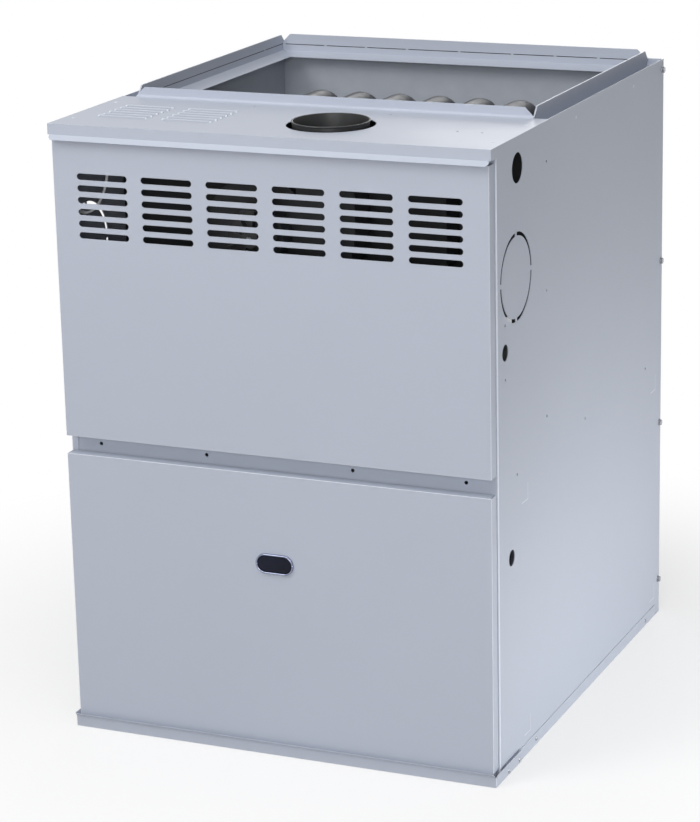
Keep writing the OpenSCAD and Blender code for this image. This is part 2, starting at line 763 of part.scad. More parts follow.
module sight_glass_rim() color(zinc) from_doors() {
    neck_len = sight_len - 2 * sight_rim - 0.4;
    neck_h = sight_h - 2 * sight_rim - 0.4;
    difference() {
        union() {
            slot_y(sight_len, sight_h, -sight_out, 0, sight_x, sight_z);
            slot_y(neck_len, neck_h, -cut, 6, sight_x, sight_z);
        }
        slot_y(neck_len - 2 * sight_wall, neck_h - 2 * sight_wall, -sight_out - cut, 7, sight_x, sight_z);
    }
}

module sight_glass_lens() color([0.05, 0.06, 0.16]) from_doors() {
    around = 2 * sight_rim + 2 * sight_wall + 0.8;
    slot_y(sight_len - around, sight_h - around, 0.6 - sight_out, 4, sight_x, sight_z);
}

// Inner panels

module middle_rail() color(paint) from_doors()
    difference() {
        union() {
            top_z = rail_mid_z + rail_half_h;
            block(-inner_x, inner_x, rail_face_y, rail_face_y + sheet, rail_bottom_z, top_z);
            block(-inner_x, inner_x, rail_face_y, rail_face_y + rail_top_flange, top_z - sheet, top_z);
            block(-inner_x + 2, inner_x - 2, rail_face_y, rail_face_y + rail_bottom_flange,
                rail_bottom_z, rail_bottom_z + sheet);
        }
        for (x = rail_hole_x)
            rod_y(2.6, rail_face_y - cut, rail_face_y + sheet + cut, x, rail_mid_z - 0.6);
    }

module blower_deck() color(zinc) from_doors() {
    out_y0 = blower_y + blower_out_u + blower_skin;
    out_y1 = blower_y + scroll_max - blower_skin;
    out_x = housing_half - 4;
    flange_y0 = rail_face_y + rail_bottom_flange + 2;
    difference() {
        union() {
            block(-deck_half, deck_half, deck_y, back_flange_y - slip, deck_under, deck_z);
            block(-deck_half + 2, deck_half - 2, deck_y, back_y - slip, deck_under, deck_z);
            for (s = [0, 1])
                mirror([s, 0, 0])
                    block(deck_half - sheet, deck_half, flange_y0, back_flange_y - slip,
                        deck_z - deck_flange, deck_z);
        }
        block(-out_x, out_x, out_y0, out_y1, deck_under - cut, deck_z + cut);
        for (p = deck_screws)
            rod_x(pilot_dia / 2, -half_w, half_w, p[0], p[1]);
        // Grommet hole for the wiring between the two sections
        rod_z(16, deck_under - cut, deck_z + cut, -220, 120);
    }
}

module vestibule_panel() color(zinc) from_doors() {
    top_z = top_in_z - slip;
    difference() {
        union() {
            block(-inner_x, inner_x, vestibule_front, vestibule_y, deck_z, top_z);
            for (s = [0, 1])
                mirror([s, 0, 0])
                    block(inner_x - sheet, inner_x, vestibule_y - vestibule_flange, vestibule_y, deck_z,
                        top_z);
            block(-inner_x, inner_x, vestibule_y - 12, vestibule_y, top_z - sheet, top_z);
        }
        for (i = [1:tubes])
            for (z = [burner_z, top_pass_z])
                rod_y(tube_r - tube_wall, vestibule_front - cut, vestibule_y + cut, tube_x(i), z);
        rod_y(limit_r + 0.4, vestibule_front - cut, vestibule_y + cut, limit_at[0], limit_at[1]);
        for (p = vestibule_screws)
            rod_x(pilot_dia / 2, -half_w, half_w, p[0], p[1]);
    }
}

function tube_x(i) = (i - tube_mid) * tube_pitch;

// The insulation ends below the rails' outer legs, and a step on its inner side runs up to the ledges
liner_top = channel_z - rail_leg - slip;
liner_back_y = back_y - 0.2;
liner_side_x = inner_x - liner_t;
liner_front_y = liner_back_y - liner_t;
liner_under_ledge = max(0, web_x - liner_side_x, rail_end + 0.4 - liner_front_y);
liner_step_z = channel_z - sheet - slip - liner_under_ledge * (channel_z - ledge_z) / ledge_w;

module side_liner() {
    block(liner_side_x, inner_x, vestibule_y + slip, liner_front_y - slip, deck_z + slip, liner_top);
    block(liner_side_x, inner_x - sheet - slip, vestibule_y + slip, liner_front_y - slip, liner_top - cut,
        liner_step_z);
}

module insulation_right() color(foil) from_doors() side_liner();
module insulation_left() color(foil) from_doors() on_left() side_liner();
module insulation_back() color(foil) from_doors() {
    half = inner_x - sheet - slip;
    difference() {
        union() {
            block(-half, half, liner_front_y, liner_back_y, deck_z + slip, liner_top);
            block(-half, half, liner_front_y, back_y - 0.1 - sheet - slip, liner_top - cut, liner_step_z);
        }
        for (p = rear_screws)
            for (s = [-1, 1])
                rod_x(pilot_dia / 2 + 0.4, s * (half_w - 5) - 4, s * (half_w - 5) + 4, p[0], p[1]);
    }
}

// Heat exchanger

module tube_run(x, z, y0, y1) {
    difference() {
        rod_y(tube_r, y0, y1, x, z);
        rod_y(tube_r - tube_wall, y0 - cut, y1 + cut, x, z);
    }
}

// A half-circle bend between two passes; toward is 1 for the rear bends and -1 for the front ones
module tube_bend(x, z, y, toward) {
    translate([x, y, z]) rotate([toward > 0 ? 0 : 180, 0, 0]) rotate([0, 90, 0])
        rotate_extrude(angle = 180)
            translate([bend_r, 0])
                difference() {
                    circle(r = tube_r);
                    circle(r = tube_r - tube_wall);
                }
}

module exchanger_tube(i) color(black) from_doors() {
    x = tube_x(i);
    z1 = burner_z + pass_pitch;
    z2 = z1 + pass_pitch;
    tube_run(x, burner_z, vestibule_y, rear_bend_y);
    tube_run(x, z1, front_bend_y, rear_bend_y);
    tube_run(x, z2, front_bend_y, rear_bend_y);
    tube_run(x, top_pass_z, vestibule_y, rear_bend_y);
    tube_bend(x, burner_z + bend_r, rear_bend_y, 1);
    tube_bend(x, z1 + bend_r, front_bend_y, -1);
    tube_bend(x, z2 + bend_r, rear_bend_y, 1);
}

module collector_box() color(zinc) from_doors() {
    back = vestibule_front - 0.1;
    w = collector_flange;
    difference() {
        union() {
            block(-collector_half, collector_half, collector_front, back, collector_z, collector_top);
            block(-collector_half - w, collector_half + w, back - sheet, back, collector_z - w,
                collector_top + w);
            rod_y(3, tap_port[1], collector_front + cut, tap_port[0], tap_port[2]);
        }
        block(sheet - collector_half, collector_half - sheet, collector_front + sheet, back + cut,
            collector_z + sheet, collector_top - sheet);
        rod_y(neck_r - 2, collector_front - cut, collector_front + sheet + cut, inducer_x, inducer_z);
        rod_y(1.6, tap_port[1] - cut, collector_front + 2 * cut, tap_port[0], tap_port[2]);
    }
}

// Inducer

module inducer_outline(skin) polygon(scroll_points(inducer_min, inducer_max, 50, inducer_out_h, skin));

module inducer_housing() color(zinc) from_doors() {
    out_x0 = inducer_min * cos(50);
    t = inducer_skin;
    top_z = inducer_z + inducer_out_h;
    difference() {
        union() {
            translate([inducer_x, 0, inducer_z]) along_y(inducer_front, inducer_back) inducer_outline(0);
            rod_y(neck_r, inducer_back - cut, collector_front - 0.1, inducer_x, inducer_z);
            // Flange round the outlet that the flue collar stands on
            block(inducer_x + out_x0 - 8, inducer_x + inducer_max + 8, inducer_front - 8, inducer_back + 8,
                top_z - 2, top_z);
        }
        translate([inducer_x, 0, inducer_z])
            along_y(inducer_front + t, inducer_back - t) inducer_outline(t);
        block(inducer_x + out_x0 + t, inducer_x + inducer_max - t, inducer_front + t, inducer_back - t,
            top_z - 10, top_z + cut);
        rod_y(neck_r - t, inducer_back - t - cut, collector_front + cut, inducer_x, inducer_z);
        rod_y(inducer_shaft_r + 6, inducer_front - cut, inducer_front + t + cut, inducer_x, inducer_z);
    }
}

module inducer_motor() color([0.55, 0.56, 0.58]) from_doors() {
    core_y0 = inducer_front - 36;
    core_y1 = inducer_front - 8;
    difference() {
        union() {
            rod_y(39, core_y0, core_y1, inducer_x, inducer_z);
            rod_y(22, core_y0 - 4, inducer_front - 1, inducer_x, inducer_z);
            for (a = [45:90:315])
                rod_y(4, core_y1 - cut, inducer_front - 0.1, inducer_x + 33 * cos(a),
                    inducer_z + 33 * sin(a));
        }
        rod_y(inducer_shaft_r + shaft_fit, core_y0 - 10, inducer_front + cut, inducer_x, inducer_z);
    }
}

module inducer_shaft() color(zinc) from_doors()
    rod_y(inducer_shaft_r, inducer_front - 58, inducer_back - 8, inducer_x, inducer_z);

module inducer_cooling_fan() color(black) from_doors() {
    y0 = inducer_front - 56;
    difference() {
        union() {
            rod_y(12, y0, y0 + 12, inducer_x, inducer_z);
            rod_y(36, y0 + 10, y0 + 12, inducer_x, inducer_z);
            for (i = [0:8])
                translate([inducer_x, y0 + 1, inducer_z]) rotate([0, i * 40, 0])
                    block(8, 36, 0, 10, -0.8, 0.8);
        }
        rod_y(inducer_shaft_r + 0.02, y0 - cut, y0 + 13, inducer_x, inducer_z);
    }
}

// Blades of a centrifugal wheel, as a flat pattern
module blades(count, r_in, chord, t, lean)
    for (i = [0:count - 1])
        rotate(i * 360 / count) translate([r_in, 0]) rotate(lean) translate([0, -t / 2]) square([chord, t]);

module inducer_wheel() color(zinc) from_doors() {
    r = inducer_wheel_dia / 2;
    y0 = inducer_front + 6;
    y1 = inducer_back - 8;
    difference() {
        union() {
            translate([inducer_x, 0, inducer_z]) along_y(y0, y1) blades(24, r - 16, 15, 1, 25);
            rod_y(r, y0, y0 + 1.5, inducer_x, inducer_z);
            rod_y(10, y0, y0 + 20, inducer_x, inducer_z);
        }
        rod_y(inducer_shaft_r + 0.02, y0 - cut, y1 + cut, inducer_x, inducer_z);
    }
    difference() {
        rod_y(r, y1 - 1.5, y1, inducer_x, inducer_z);
        rod_y(r - 12, y1 - 3, y1 + cut, inducer_x, inducer_z);
    }
}

module flue_collar() color(black) from_doors() {
    base_z = inducer_z + inducer_out_h + 0.1;
    r = flue_dia / 2;
    difference() {
        union() {
            rod_z(r, base_z, casing_h + flue_rise, flue_x, inducer_y);
            rod_z(r + 4, base_z, base_z + 1.5, flue_x, inducer_y);
        }
        rod_z(r - 1, base_z - cut, casing_h + flue_rise + cut, flue_x, inducer_y);
    }
}

// Burners and gas train

module burner_profile() {
    throat_r = throat_dia / 2;
    mouth_r = mouth_dia / 2;
    waist = throat_y + waist_back;
    waist_r = throat_r - 3;
    flare = mouth_y - mouth_len;
    polygon([[throat_r - 1, throat_y], [throat_r, throat_y], [throat_r, throat_y + throat_len],
        [waist_r, waist], [mouth_r, flare], [mouth_r, mouth_y], [mouth_r - 1, mouth_y], [mouth_r - 1, flare],
        [waist_r - 1, waist], [throat_r - 1, throat_y + throat_len]]);
}

module burner_assembly() color(zinc) from_doors() {
    strip_y = mouth_y - throat_len;
    for (i = [1:tubes])
        translate([tube_x(i), 0, burner_z]) rotate([-90, 0, 0]) rotate_extrude() burner_profile();
    // Carry-over strips that join neighbouring burners
    for (i = [1:tubes - 1])
        block(tube_x(i) + mouth_dia / 2 - 0.8, tube_x(i + 1) - mouth_dia / 2 + 0.8, strip_y, mouth_y,
            burner_z - 5, burner_z + 5);
}

module burner_bracket() color(zinc) from_doors() {
    z0 = burner_z - bracket_half;
    z1 = burner_z + bracket_half;
    back = vestibule_front - 0.1;
    ear_y = manifold_y - manifold_dia / 2 - 7;
    difference() {
        union() {
            block(-bracket_half_w, bracket_half_w, bracket_front, back, z0, z0 + sheet);
            block(-bracket_half_w, bracket_half_w, bracket_front, bracket_front + sheet, z0, z1);
            for (s = [0, 1])
                mirror([s, 0, 0]) {
                    block(bracket_half_w - sheet, bracket_half_w, bracket_front, back, z0, z1);
                    block(bracket_half_w - sheet, bracket_half_w + 14, back - sheet, back, z0, z1);
                    block(bracket_half_w - sheet, bracket_half_w, ear_y, bracket_front + cut,
                        burner_z - 16, burner_z + 16);
                }
        }
        for (i = [1:tubes])
            rod_y(throat_dia / 2 + 0.2, bracket_front - cut, bracket_front + sheet + cut, tube_x(i),
                burner_z);
        rod_x(manifold_dia / 2 + 0.2, -bracket_half_w - 20, bracket_half_w + 20, manifold_y, burner_z);
        rod_x(probe_r + 0.4, -bracket_half_w - 20, bracket_half_w + 20, probe_y, burner_z);
    }
}

valve_x0 = -292;
valve_x1 = -226;
orifice_hole_r = 5.1;

module gas_manifold() color(black) from_doors() {
    end_x = bracket_half_w + 12;
    r = manifold_dia / 2;
    difference() {
        union() {
            rod_x(r, valve_x1 - 12, end_x, manifold_y, burner_z);
            rod_x(r + 3, end_x, end_x + 14, manifold_y, burner_z);
        }
        rod_x(r - 2.8, valve_x1 - 14, end_x, manifold_y, burner_z);
        for (i = [1:tubes])
            rod_y(orifice_hole_r, manifold_y, manifold_y + r + cut, tube_x(i), burner_z);
    }
}

module gas_orifices() color(brass) from_doors() {
    seat = manifold_y + manifold_dia / 2 + 0.2;
    for (i = [1:tubes])
        difference() {
            union() {
                rod_y(orifice_hole_r - 0.1, seat - 3, seat + 6, tube_x(i), burner_z);
                translate([tube_x(i), seat, burner_z]) rotate([-90, 0, 0])
                    cylinder(r = 8, h = 12, $fn = 6);
                rod_y(5, seat + 11, seat + 20, tube_x(i), burner_z);
            }
            rod_y(1.2, seat - 5, seat + 22, tube_x(i), burner_z);
        }
}

module gas_valve() color([0.60, 0.61, 0.63]) from_doors() {
    y0 = 34;
    y1 = 92;
    z0 = burner_z - 28;
    z1 = burner_z + 30;
    mid_x = (valve_x0 + valve_x1) / 2;
    difference() {
        union() {
            block(valve_x0, valve_x1, y0, y1, z0, z1);
            rod_x(16, valve_x1 - cut, valve_x1 + 8, manifold_y, burner_z);
            rod_z(17, z1 - cut, z1 + 12, mid_x, manifold_y + 6);
            rod_z(14, z1 - cut, z1 + 8, mid_x + 20, y0 + 12);
            rod_y(13, y0 - 4, y0 + cut, mid_x, burner_z);
        }
        rod_x(manifold_dia / 2 + 0.1, valve_x1 - 12.2, valve_x1 + 9, manifold_y, burner_z);
        rod_z(10.3, z1 - 14, z1 + 13, mid_x, manifold_y + 6);
        rod_y(4.1, y0 - 5, y0 + 14, mid_x, burner_z);
    }
}

module gas_valve_knob() color(black) from_doors() {
    mid_x = (valve_x0 + valve_x1) / 2;
    rod_y(4, 29, 46, mid_x, burner_z);
    rod_y(15, 19, 29.7, mid_x, burner_z);
    block(mid_x - 3, mid_x + 3, 16, 20, burner_z - 13, burner_z + 13);
}

probe_r = 4;
probe_y = vestibule_front - 7;

// A probe through the burner bracket's side wall; tip_x is where its metal tip ends
module probe(plate_x, tip_x, tip_r) {
    rod_x(probe_r, bracket_half_w - 14, plate_x + 14, probe_y, burner_z);
    block(plate_x, plate_x + 1.5, probe_y - 6, probe_y + 5, burner_z - 8, burner_z + 20);
    rod_x(tip_r, tip_x, bracket_half_w - 13, probe_y, burner_z);
}

module igniter() color([0.88, 0.86, 0.80]) from_doors() on_left() probe(bracket_half_w + 0.2, 146, 2.5);
module flame_sensor() color(white) from_doors() probe(bracket_half_w + 0.2, 140, 1.6);

rollout_at = [-100, burner_z + bracket_half + 30];
limit_at = [inner_x - 84, burner_z + 117];
limit_r = 5;

module rollout_switch() color(black) from_doors() {
    back = vestibule_front - 0.1;
    difference() {
        union() {
            block(rollout_at[0] - 18, rollout_at[0] + 18, back - 1, back, rollout_at[1] - 10,
                rollout_at[1] + 10);
            rod_y(9.5, back - 12, back - 0.5, rollout_at[0], rollout_at[1]);
            for (s = [-1, 1])
                block(rollout_at[0] + s * 6 - 0.4, rollout_at[0] + s * 6 + 0.4, back - 19, back - 11,
                    rollout_at[1] - 3, rollout_at[1] + 3);
        }
        rod_y(2.1, back - 13, back - 6, rollout_at[0], rollout_at[1]);
    }
}

module rollout_reset_button() color([0.75, 0.10, 0.08]) from_doors()
    rod_y(2, vestibule_front - 14, vestibule_front - 8, rollout_at[0], rollout_at[1]);

module limit_switch() color(black) from_doors() {
    front = vestibule_front - 0.1;
    rod_y(limit_r, front - 5, vestibule_y + 62, limit_at[0], limit_at[1]);
    block(limit_at[0] - 18, limit_at[0] + 18, front - 1.5, front, limit_at[1] - 11, limit_at[1] + 11);
    rod_y(10, front - 16, front - 0.5, limit_at[0], limit_at[1]);
}

module pressure_switch() color([0.30, 0.31, 0.33]) from_doors() {
    back = vestibule_front - 0.1;
    cx = switch_port[0];
    cz = switch_port[2];
    difference() {
        union() {
            rod_y(32, back - 12, back - 6, cx, cz);
            rod_y(28, back - 22, back - 6, cx, cz);
            rod_y(12, back - 30, back - 21, cx, cz);
            rod_y(3, switch_port[1], back - 29, cx, cz);
            block(cx - 20, cx + 20, back - 6.5, back, cz - 42, cz - 20);
            block(cx - 20, cx + 20, back - 6.5, back, cz + 20, cz + 42);
        }
        rod_y(1.6, switch_port[1] - cut, back - 20, cx, cz);
    }
}

module pressure_hose() color(white) from_doors() sweep_tube(hose_route, hose_r, 10);

module junction_box() color(zinc) from_doors() {
    y0 = frame_y + sheet + 2;
    y1 = line_hole[0] + 28;
    half_z = box_screw_gap - 9;
    z = line_hole[1];
    in = inner_x - 52;
    difference() {
        union() {
            block(in, inner_x, y0, y1, z - half_z, z + half_z);
            block(inner_x - sheet, inner_x, y0, y1, z - box_screw_gap - 9, z + box_screw_gap + 9);
        }
        block(in + sheet, inner_x + cut, y0 + sheet, y1 - sheet, z - half_z + sheet, z + half_z - sheet);
        for (p = box_screws)
            rod_x(pilot_dia / 2, inner_x - 3, inner_x + cut, p[0], p[1]);
    }
}

// Blower

module blower_outline(skin) polygon(scroll_points(scroll_min, scroll_max, cutoff_angle,
    blower_drop - sheet - 0.1, skin));

module blower_housing() color(zinc) from_doors() {
    t = blower_skin;
    top_z = deck_under - 0.1;
    y0 = blower_y + blower_out_u;
    y1 = blower_y + scroll_max;
    difference() {
        union() {
            translate([0, blower_y, blower_z]) along_x(-housing_half, housing_half) blower_outline(0);
            block(-housing_half - 12, housing_half + 12, y0 - 12, y1 + 12, top_z - t, top_z);
            for (s = [0, 1])
                mirror([s, 0, 0])
                    rod_x(inlet_dia / 2 + 6, housing_half - cut, housing_half + 3, blower_y, blower_z);
        }
        translate([0, blower_y, blower_z]) along_x(t - housing_half, housing_half - t) blower_outline(t);
        block(t - housing_half, housing_half - t, y0 + t, y1 - t, top_z - 10, top_z + cut);
        rod_x(inlet_dia / 2, -housing_half - 5, housing_half + 5, blower_y, blower_z);
    }
}

module blower_wheel() color(zinc) from_doors() {
    r = wheel_dia / 2;
    half = wheel_w / 2;
    ring_w = 8;
    difference() {
        union() {
            translate([0, blower_y, blower_z]) along_x(-half, half) blades(wheel_blades, r - 26, 24, 1, 32);
            rod_x(r - 4, 0, 1.6, blower_y, blower_z);
            rod_x(hub_r, 0, hub_len, blower_y, blower_z);
        }
        rod_x(shaft_r + 0.02, -cut, hub_len + cut, blower_y, blower_z);
    }
    for (s = [0, 1])
        mirror([s, 0, 0])
            difference() {
                rod_x(r, half - ring_w, half, blower_y, blower_z);
                rod_x(r - 5, half - ring_w - cut, half + cut, blower_y, blower_z);
            }
}

module blower_shaft() color(zinc) from_doors()
    rod_x(shaft_r, motor_front_x - 60, hub_len + 6, blower_y, blower_z);

// Motor with a solid core in the middle and a hollow, vented bell at each end
module blower_motor() color([0.20, 0.21, 0.23]) from_doors() {
    r = motor_dia / 2;
    bell = (motor_len - motor_core) / 2;
    difference() {
        union() {
            rod_x(r, motor_end_x + 6, motor_front_x - 6, blower_y, blower_z);
            rod_x(r - 8, motor_end_x, motor_front_x, blower_y, blower_z);
            rod_x(shaft_r + 8, motor_front_x - cut, motor_front_x + 6, blower_y, blower_z);
        }
        rod_x(r - 4, motor_end_x + 9, motor_end_x + bell, blower_y, blower_z);
        rod_x(r - 4, motor_front_x - bell, motor_front_x - 9, blower_y, blower_z);
        for (a = [0:60:300])
            translate([0, blower_y, blower_z]) rotate([a, 0, 0]) {
                rod_x(8, motor_end_x - cut, motor_end_x + 10, 42, 0);
                rod_x(8, motor_front_x - 10, motor_front_x + cut, 42, 0);
            }
        rod_x(shaft_r + shaft_fit, motor_front_x - shaft_in, motor_front_x + 7, blower_y, blower_z);
    }
}

// Band round the motor with three arms that bolt to the left inlet ring
module motor_mount() color(zinc) from_doors() {
    band_r = motor_dia / 2 + 0.2;
    band_x = -housing_half - 3;
    foot_r = inlet_dia / 2 + 4;
    difference() {
        union() {
            rod_x(band_r + 2.5, band_x - 24, band_x - 2, blower_y, blower_z);
            for (a = [90:120:330])
                translate([0, blower_y, blower_z]) rotate([a, 0, 0]) {
                    block(band_x - 6, band_x - 3, -10, 10, band_r, foot_r);
                    block(band_x - 6, band_x - 0.2, -10, 10, foot_r - 8, foot_r);
                }
        }
        rod_x(band_r, band_x - 30, band_x + cut, blower_y, blower_z);
    }
}

module capacitor() color(zinc) from_doors() {
    x = housing_half + 24.5;
    y = blower_y + scroll_max - 60;
    z = deck_z - 110;
    rod_z(22, z, z + 78, x, y);
    rod_z(5, z + 77, z + 84, x - 8, y);
    rod_z(5, z + 77, z + 84, x + 8, y);
    // Strap round the can, with an ear on each side that screws to the housing
    rod_z(23.2, z + 30, z + 48, x, y);
    block(housing_half + 0.2, housing_half + 1.4, y - 38, y + 38, z + 30, z + 48);
}

// Controls

module control_panel() color(zinc) from_doors() {
    top_z = deck_under - 0.1;
    y = control_y;
    block(-control_half_w, control_half_w, y, y + sheet, control_bottom, top_z);
    block(-control_half_w, control_half_w, y, y + 18, top_z - sheet, top_z);
    for (s = [0, 1])
        mirror([s, 0, 0])
            block(control_half_w - sheet, control_half_w, y, y + 12, control_bottom, top_z);
    for (x = [-70, 70])
        for (z = [sight_z - 52, sight_z + 52])
            rod_y(3, y - board_gap, y + 0.5, x, z);
}

module control_board() color([0.10, 0.30, 0.16]) from_doors() {
    y1 = control_y - board_gap - 0.1;
    y0 = y1 - 1.6;
    block(-80, 80, y0, y1, sight_z - 62, sight_z + 62);
    for (x = [-52, -22, 8])
        block(x, x + 22, y0 - 16, y0 + 0.2, sight_z + 28, sight_z + 50);
    block(36, 68, y0 - 12, y0 + 0.2, sight_z - 54, sight_z - 20);
    block(-60, -8, y0 - 10, y0 + 0.2, sight_z - 56, sight_z - 46);
    rod_y(2.5, y0 - 6, y0 + 0.2, sight_x, sight_z);
    rod_y(7, y0 - 18, y0 + 0.2, -50, sight_z);
}

module transformer() color([0.35, 0.33, 0.30]) from_doors() {
    x = -125;
    z = 226;
    front = control_y - 0.1;
    block(x - 27, x + 27, front - 40, front - 8, z - 22, z + 22);
    block(x - 16, x + 16, front - 52, front, z - 32, z + 32);
    block(x - 32, x + 32, front - 1.5, front, z - 38, z + 38);
}

module door_switch() color(black) from_doors() {
    z1 = switch_top - 0.1;
    difference() {
        block(switch_x - 14, switch_x + 14, rail_face_y, 44, z1 - 24, z1);
        block(switch_x - 4.2, switch_x + 4.2, rail_face_y - cut, 40, z1 - 16.2, z1 - 7.8);
    }
}

module door_switch_plunger() color(white) from_doors() {
    z1 = switch_top - 0.1;
    block(switch_x - 4, switch_x + 4, sheet + slip, 34, z1 - 16, z1 - 8);
}

left_side_panel();
right_side_panel();
back_panel();
top_pan();
base_front_rail();
base_left_rail();
base_right_rail();
duct_flange_left();
duct_flange_right();
duct_flange_back();
middle_rail();
vestibule_panel();
blower_deck();
insulation_left();
insulation_right();
insulation_back();
upper_door();
lower_door();
sight_glass_rim();
sight_glass_lens();
casing_screws();
base_rivets();
exchanger_tube(1);  // exchanger_tube_1
exchanger_tube(2);  // exchanger_tube_2
exchanger_tube(3);  // exchanger_tube_3
exchanger_tube(4);  // exchanger_tube_4
exchanger_tube(5);  // exchanger_tube_5
exchanger_tube(6);  // exchanger_tube_6
collector_box();
inducer_housing();
inducer_motor();
inducer_wheel();
inducer_shaft();
inducer_cooling_fan();
flue_collar();
burner_assembly();
burner_bracket();
gas_manifold();
gas_orifices();
gas_valve();
gas_valve_knob();
igniter();
flame_sensor();
rollout_switch();
rollout_reset_button();
limit_switch();
pressure_switch();
pressure_hose();
junction_box();
blower_housing();
blower_wheel();
blower_motor();
blower_shaft();
motor_mount();
capacitor();
control_panel();
control_board();
transformer();
door_switch();
door_switch_plunger();
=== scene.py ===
import math

import bmesh
import bpy
from mathutils import Matrix, Vector


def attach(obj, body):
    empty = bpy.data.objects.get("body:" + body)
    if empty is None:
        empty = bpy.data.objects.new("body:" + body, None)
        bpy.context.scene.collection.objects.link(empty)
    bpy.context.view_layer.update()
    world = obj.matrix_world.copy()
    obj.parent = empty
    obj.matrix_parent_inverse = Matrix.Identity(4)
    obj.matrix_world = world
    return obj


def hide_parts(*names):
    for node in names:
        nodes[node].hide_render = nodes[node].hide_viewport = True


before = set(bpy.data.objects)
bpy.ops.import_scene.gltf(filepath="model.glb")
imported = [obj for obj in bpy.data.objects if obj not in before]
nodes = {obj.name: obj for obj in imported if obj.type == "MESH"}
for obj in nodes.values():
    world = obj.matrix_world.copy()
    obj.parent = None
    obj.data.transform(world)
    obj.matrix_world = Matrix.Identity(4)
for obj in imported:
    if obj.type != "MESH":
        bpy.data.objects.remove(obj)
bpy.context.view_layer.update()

MM = 0.001
scene = bpy.context.scene

# In millimetres, as in part.scad: half the casing's width, its height, the place of the door faces
# in the frame, and how far the front of the side panels lies behind them
HALF_W, CASING_H, DOOR_Y, SIDE_FRONT = 311.0, 854.0, -355.0, 18.6


# ---------------------------------------------------------------- camera

# Fitted to the photograph: angles in degrees, place in metres, focal length and picture in pixels
AZIMUTH, ELEVATION, ROLL = 23.566, 16.183, -1.279
CAMERA_PLACE = (1.540, -3.626, 1.534)
FOCAL_PX, PICTURE_H_PX = 2864.33, 822.0
SENSOR = 36.0


def make_camera():
    az, el, roll = math.radians(AZIMUTH), math.radians(ELEVATION), math.radians(ROLL)
    back = Vector((math.sin(az) * math.cos(el), -math.cos(az) * math.cos(el), math.sin(el)))
    level_right = Vector((math.cos(az), math.sin(az), 0.0))
    level_up = back.cross(level_right)
    right = math.cos(roll) * level_right + math.sin(roll) * level_up
    up = -math.sin(roll) * level_right + math.cos(roll) * level_up
    turn = Matrix((right, up, back)).transposed().to_4x4()
    data = bpy.data.cameras.new("camera")
    data.lens = FOCAL_PX * SENSOR / PICTURE_H_PX
    data.sensor_width = SENSOR
    data.clip_start = 0.05
    data.clip_end = 100.0
    cam = bpy.data.objects.new("camera", data)
    cam.matrix_world = Matrix.Translation(CAMERA_PLACE) @ turn
    scene.collection.objects.link(cam)
    scene.camera = cam


# ---------------------------------------------------------------- materials

def srgb(r, g, b):
    """A colour of 0 to 255, in linear values."""
    def linear(v):
        v /= 255.0
        return v / 12.92 if v <= 0.04045 else ((v + 0.055) / 1.055) ** 2.4
    return (linear(r), linear(g), linear(b), 1.0)


def grey(v):
    return (v, v, v, 1.0)


def shade(color, k):
    """The colour, k times as bright."""
    return tuple(min(1.0, c * k) for c in color[:3]) + (1.0,)


def set_inputs(node, inputs):
    """Links inputs of a node to the sockets that are given for them, and sets the others' values."""
    for key, source in inputs.items():
        if isinstance(source, bpy.types.NodeSocket):
            node.id_data.links.new(source, node.inputs[key])
        else:
            node.inputs[key].default_value = source


def new_node(tree, kind, inputs, **settings):
    """A shader node; settings are its own properties, which decide what inputs it has."""
    node = tree.nodes.new("ShaderNode" + kind)
    for name, value in settings.items():
        setattr(node, name, value)
    set_inputs(node, inputs)
    return node


def new_material(name):
    mat = bpy.data.materials.new(name)
    mat.use_nodes = True
    tree = mat.node_tree
    tree.nodes.clear()
    bsdf = new_node(tree, "BsdfPrincipled", {})
    new_node(tree, "OutputMaterial", {"Surface": bsdf.outputs["BSDF"]})
    return mat, tree, bsdf


def object_point(tree):
    return new_node(tree, "TexCoord", {}).outputs["Object"]


def noise(tree, scale, detail, rough, stretch=(1.0, 1.0, 1.0)):
    mapping = new_node(tree, "Mapping", {"Vector": object_point(tree), "Scale": stretch})
    node = new_node(tree, "TexNoise", {"Vector": mapping.outputs["Vector"], "Scale": scale,
                                       "Detail": detail, "Roughness": rough})
    return node.outputs["Fac"]


def ramp(tree, source, low, high, start=0.3, end=0.7):
    """Turns from one colour to the other while the source goes from start to end."""
    node = new_node(tree, "ValToRGB", {"Fac": source})
    first, last = node.color_ramp.elements
    first.position, first.color = start, low
    last.position, last.color = end, high
    return node.outputs["Color"]


def surface(name, color, rough, spread, scale, bump, metallic=0.0, rough_spread=0.06, spec=0.5,
            stretch=(1.0, 1.0, 1.0)):
    """Colour, roughness and bump each vary by their own noise; bump is its strength, scale and depth."""
    mat, tree, bsdf = new_material(name)
    strength, bump_scale, depth = bump
    base = noise(tree, scale, detail=4.0, rough=0.6, stretch=stretch)
    worn = noise(tree, scale * 4.0, detail=5.0, rough=0.65, stretch=stretch)
    fine = noise(tree, bump_scale, detail=2.0, rough=0.5, stretch=stretch)
    relief = new_node(tree, "Bump", {"Strength": strength, "Distance": depth * MM, "Height": fine})
    set_inputs(bsdf, {
        "Base Color": ramp(tree, base, shade(color, 1 - spread), shade(color, 1 + spread)),
        "Roughness": ramp(tree, worn, grey(rough - rough_spread), grey(rough + rough_spread)),
        "Normal": relief.outputs["Normal"],
        "Metallic": metallic,
        "Specular IOR Level": spec,
    })
    return mat


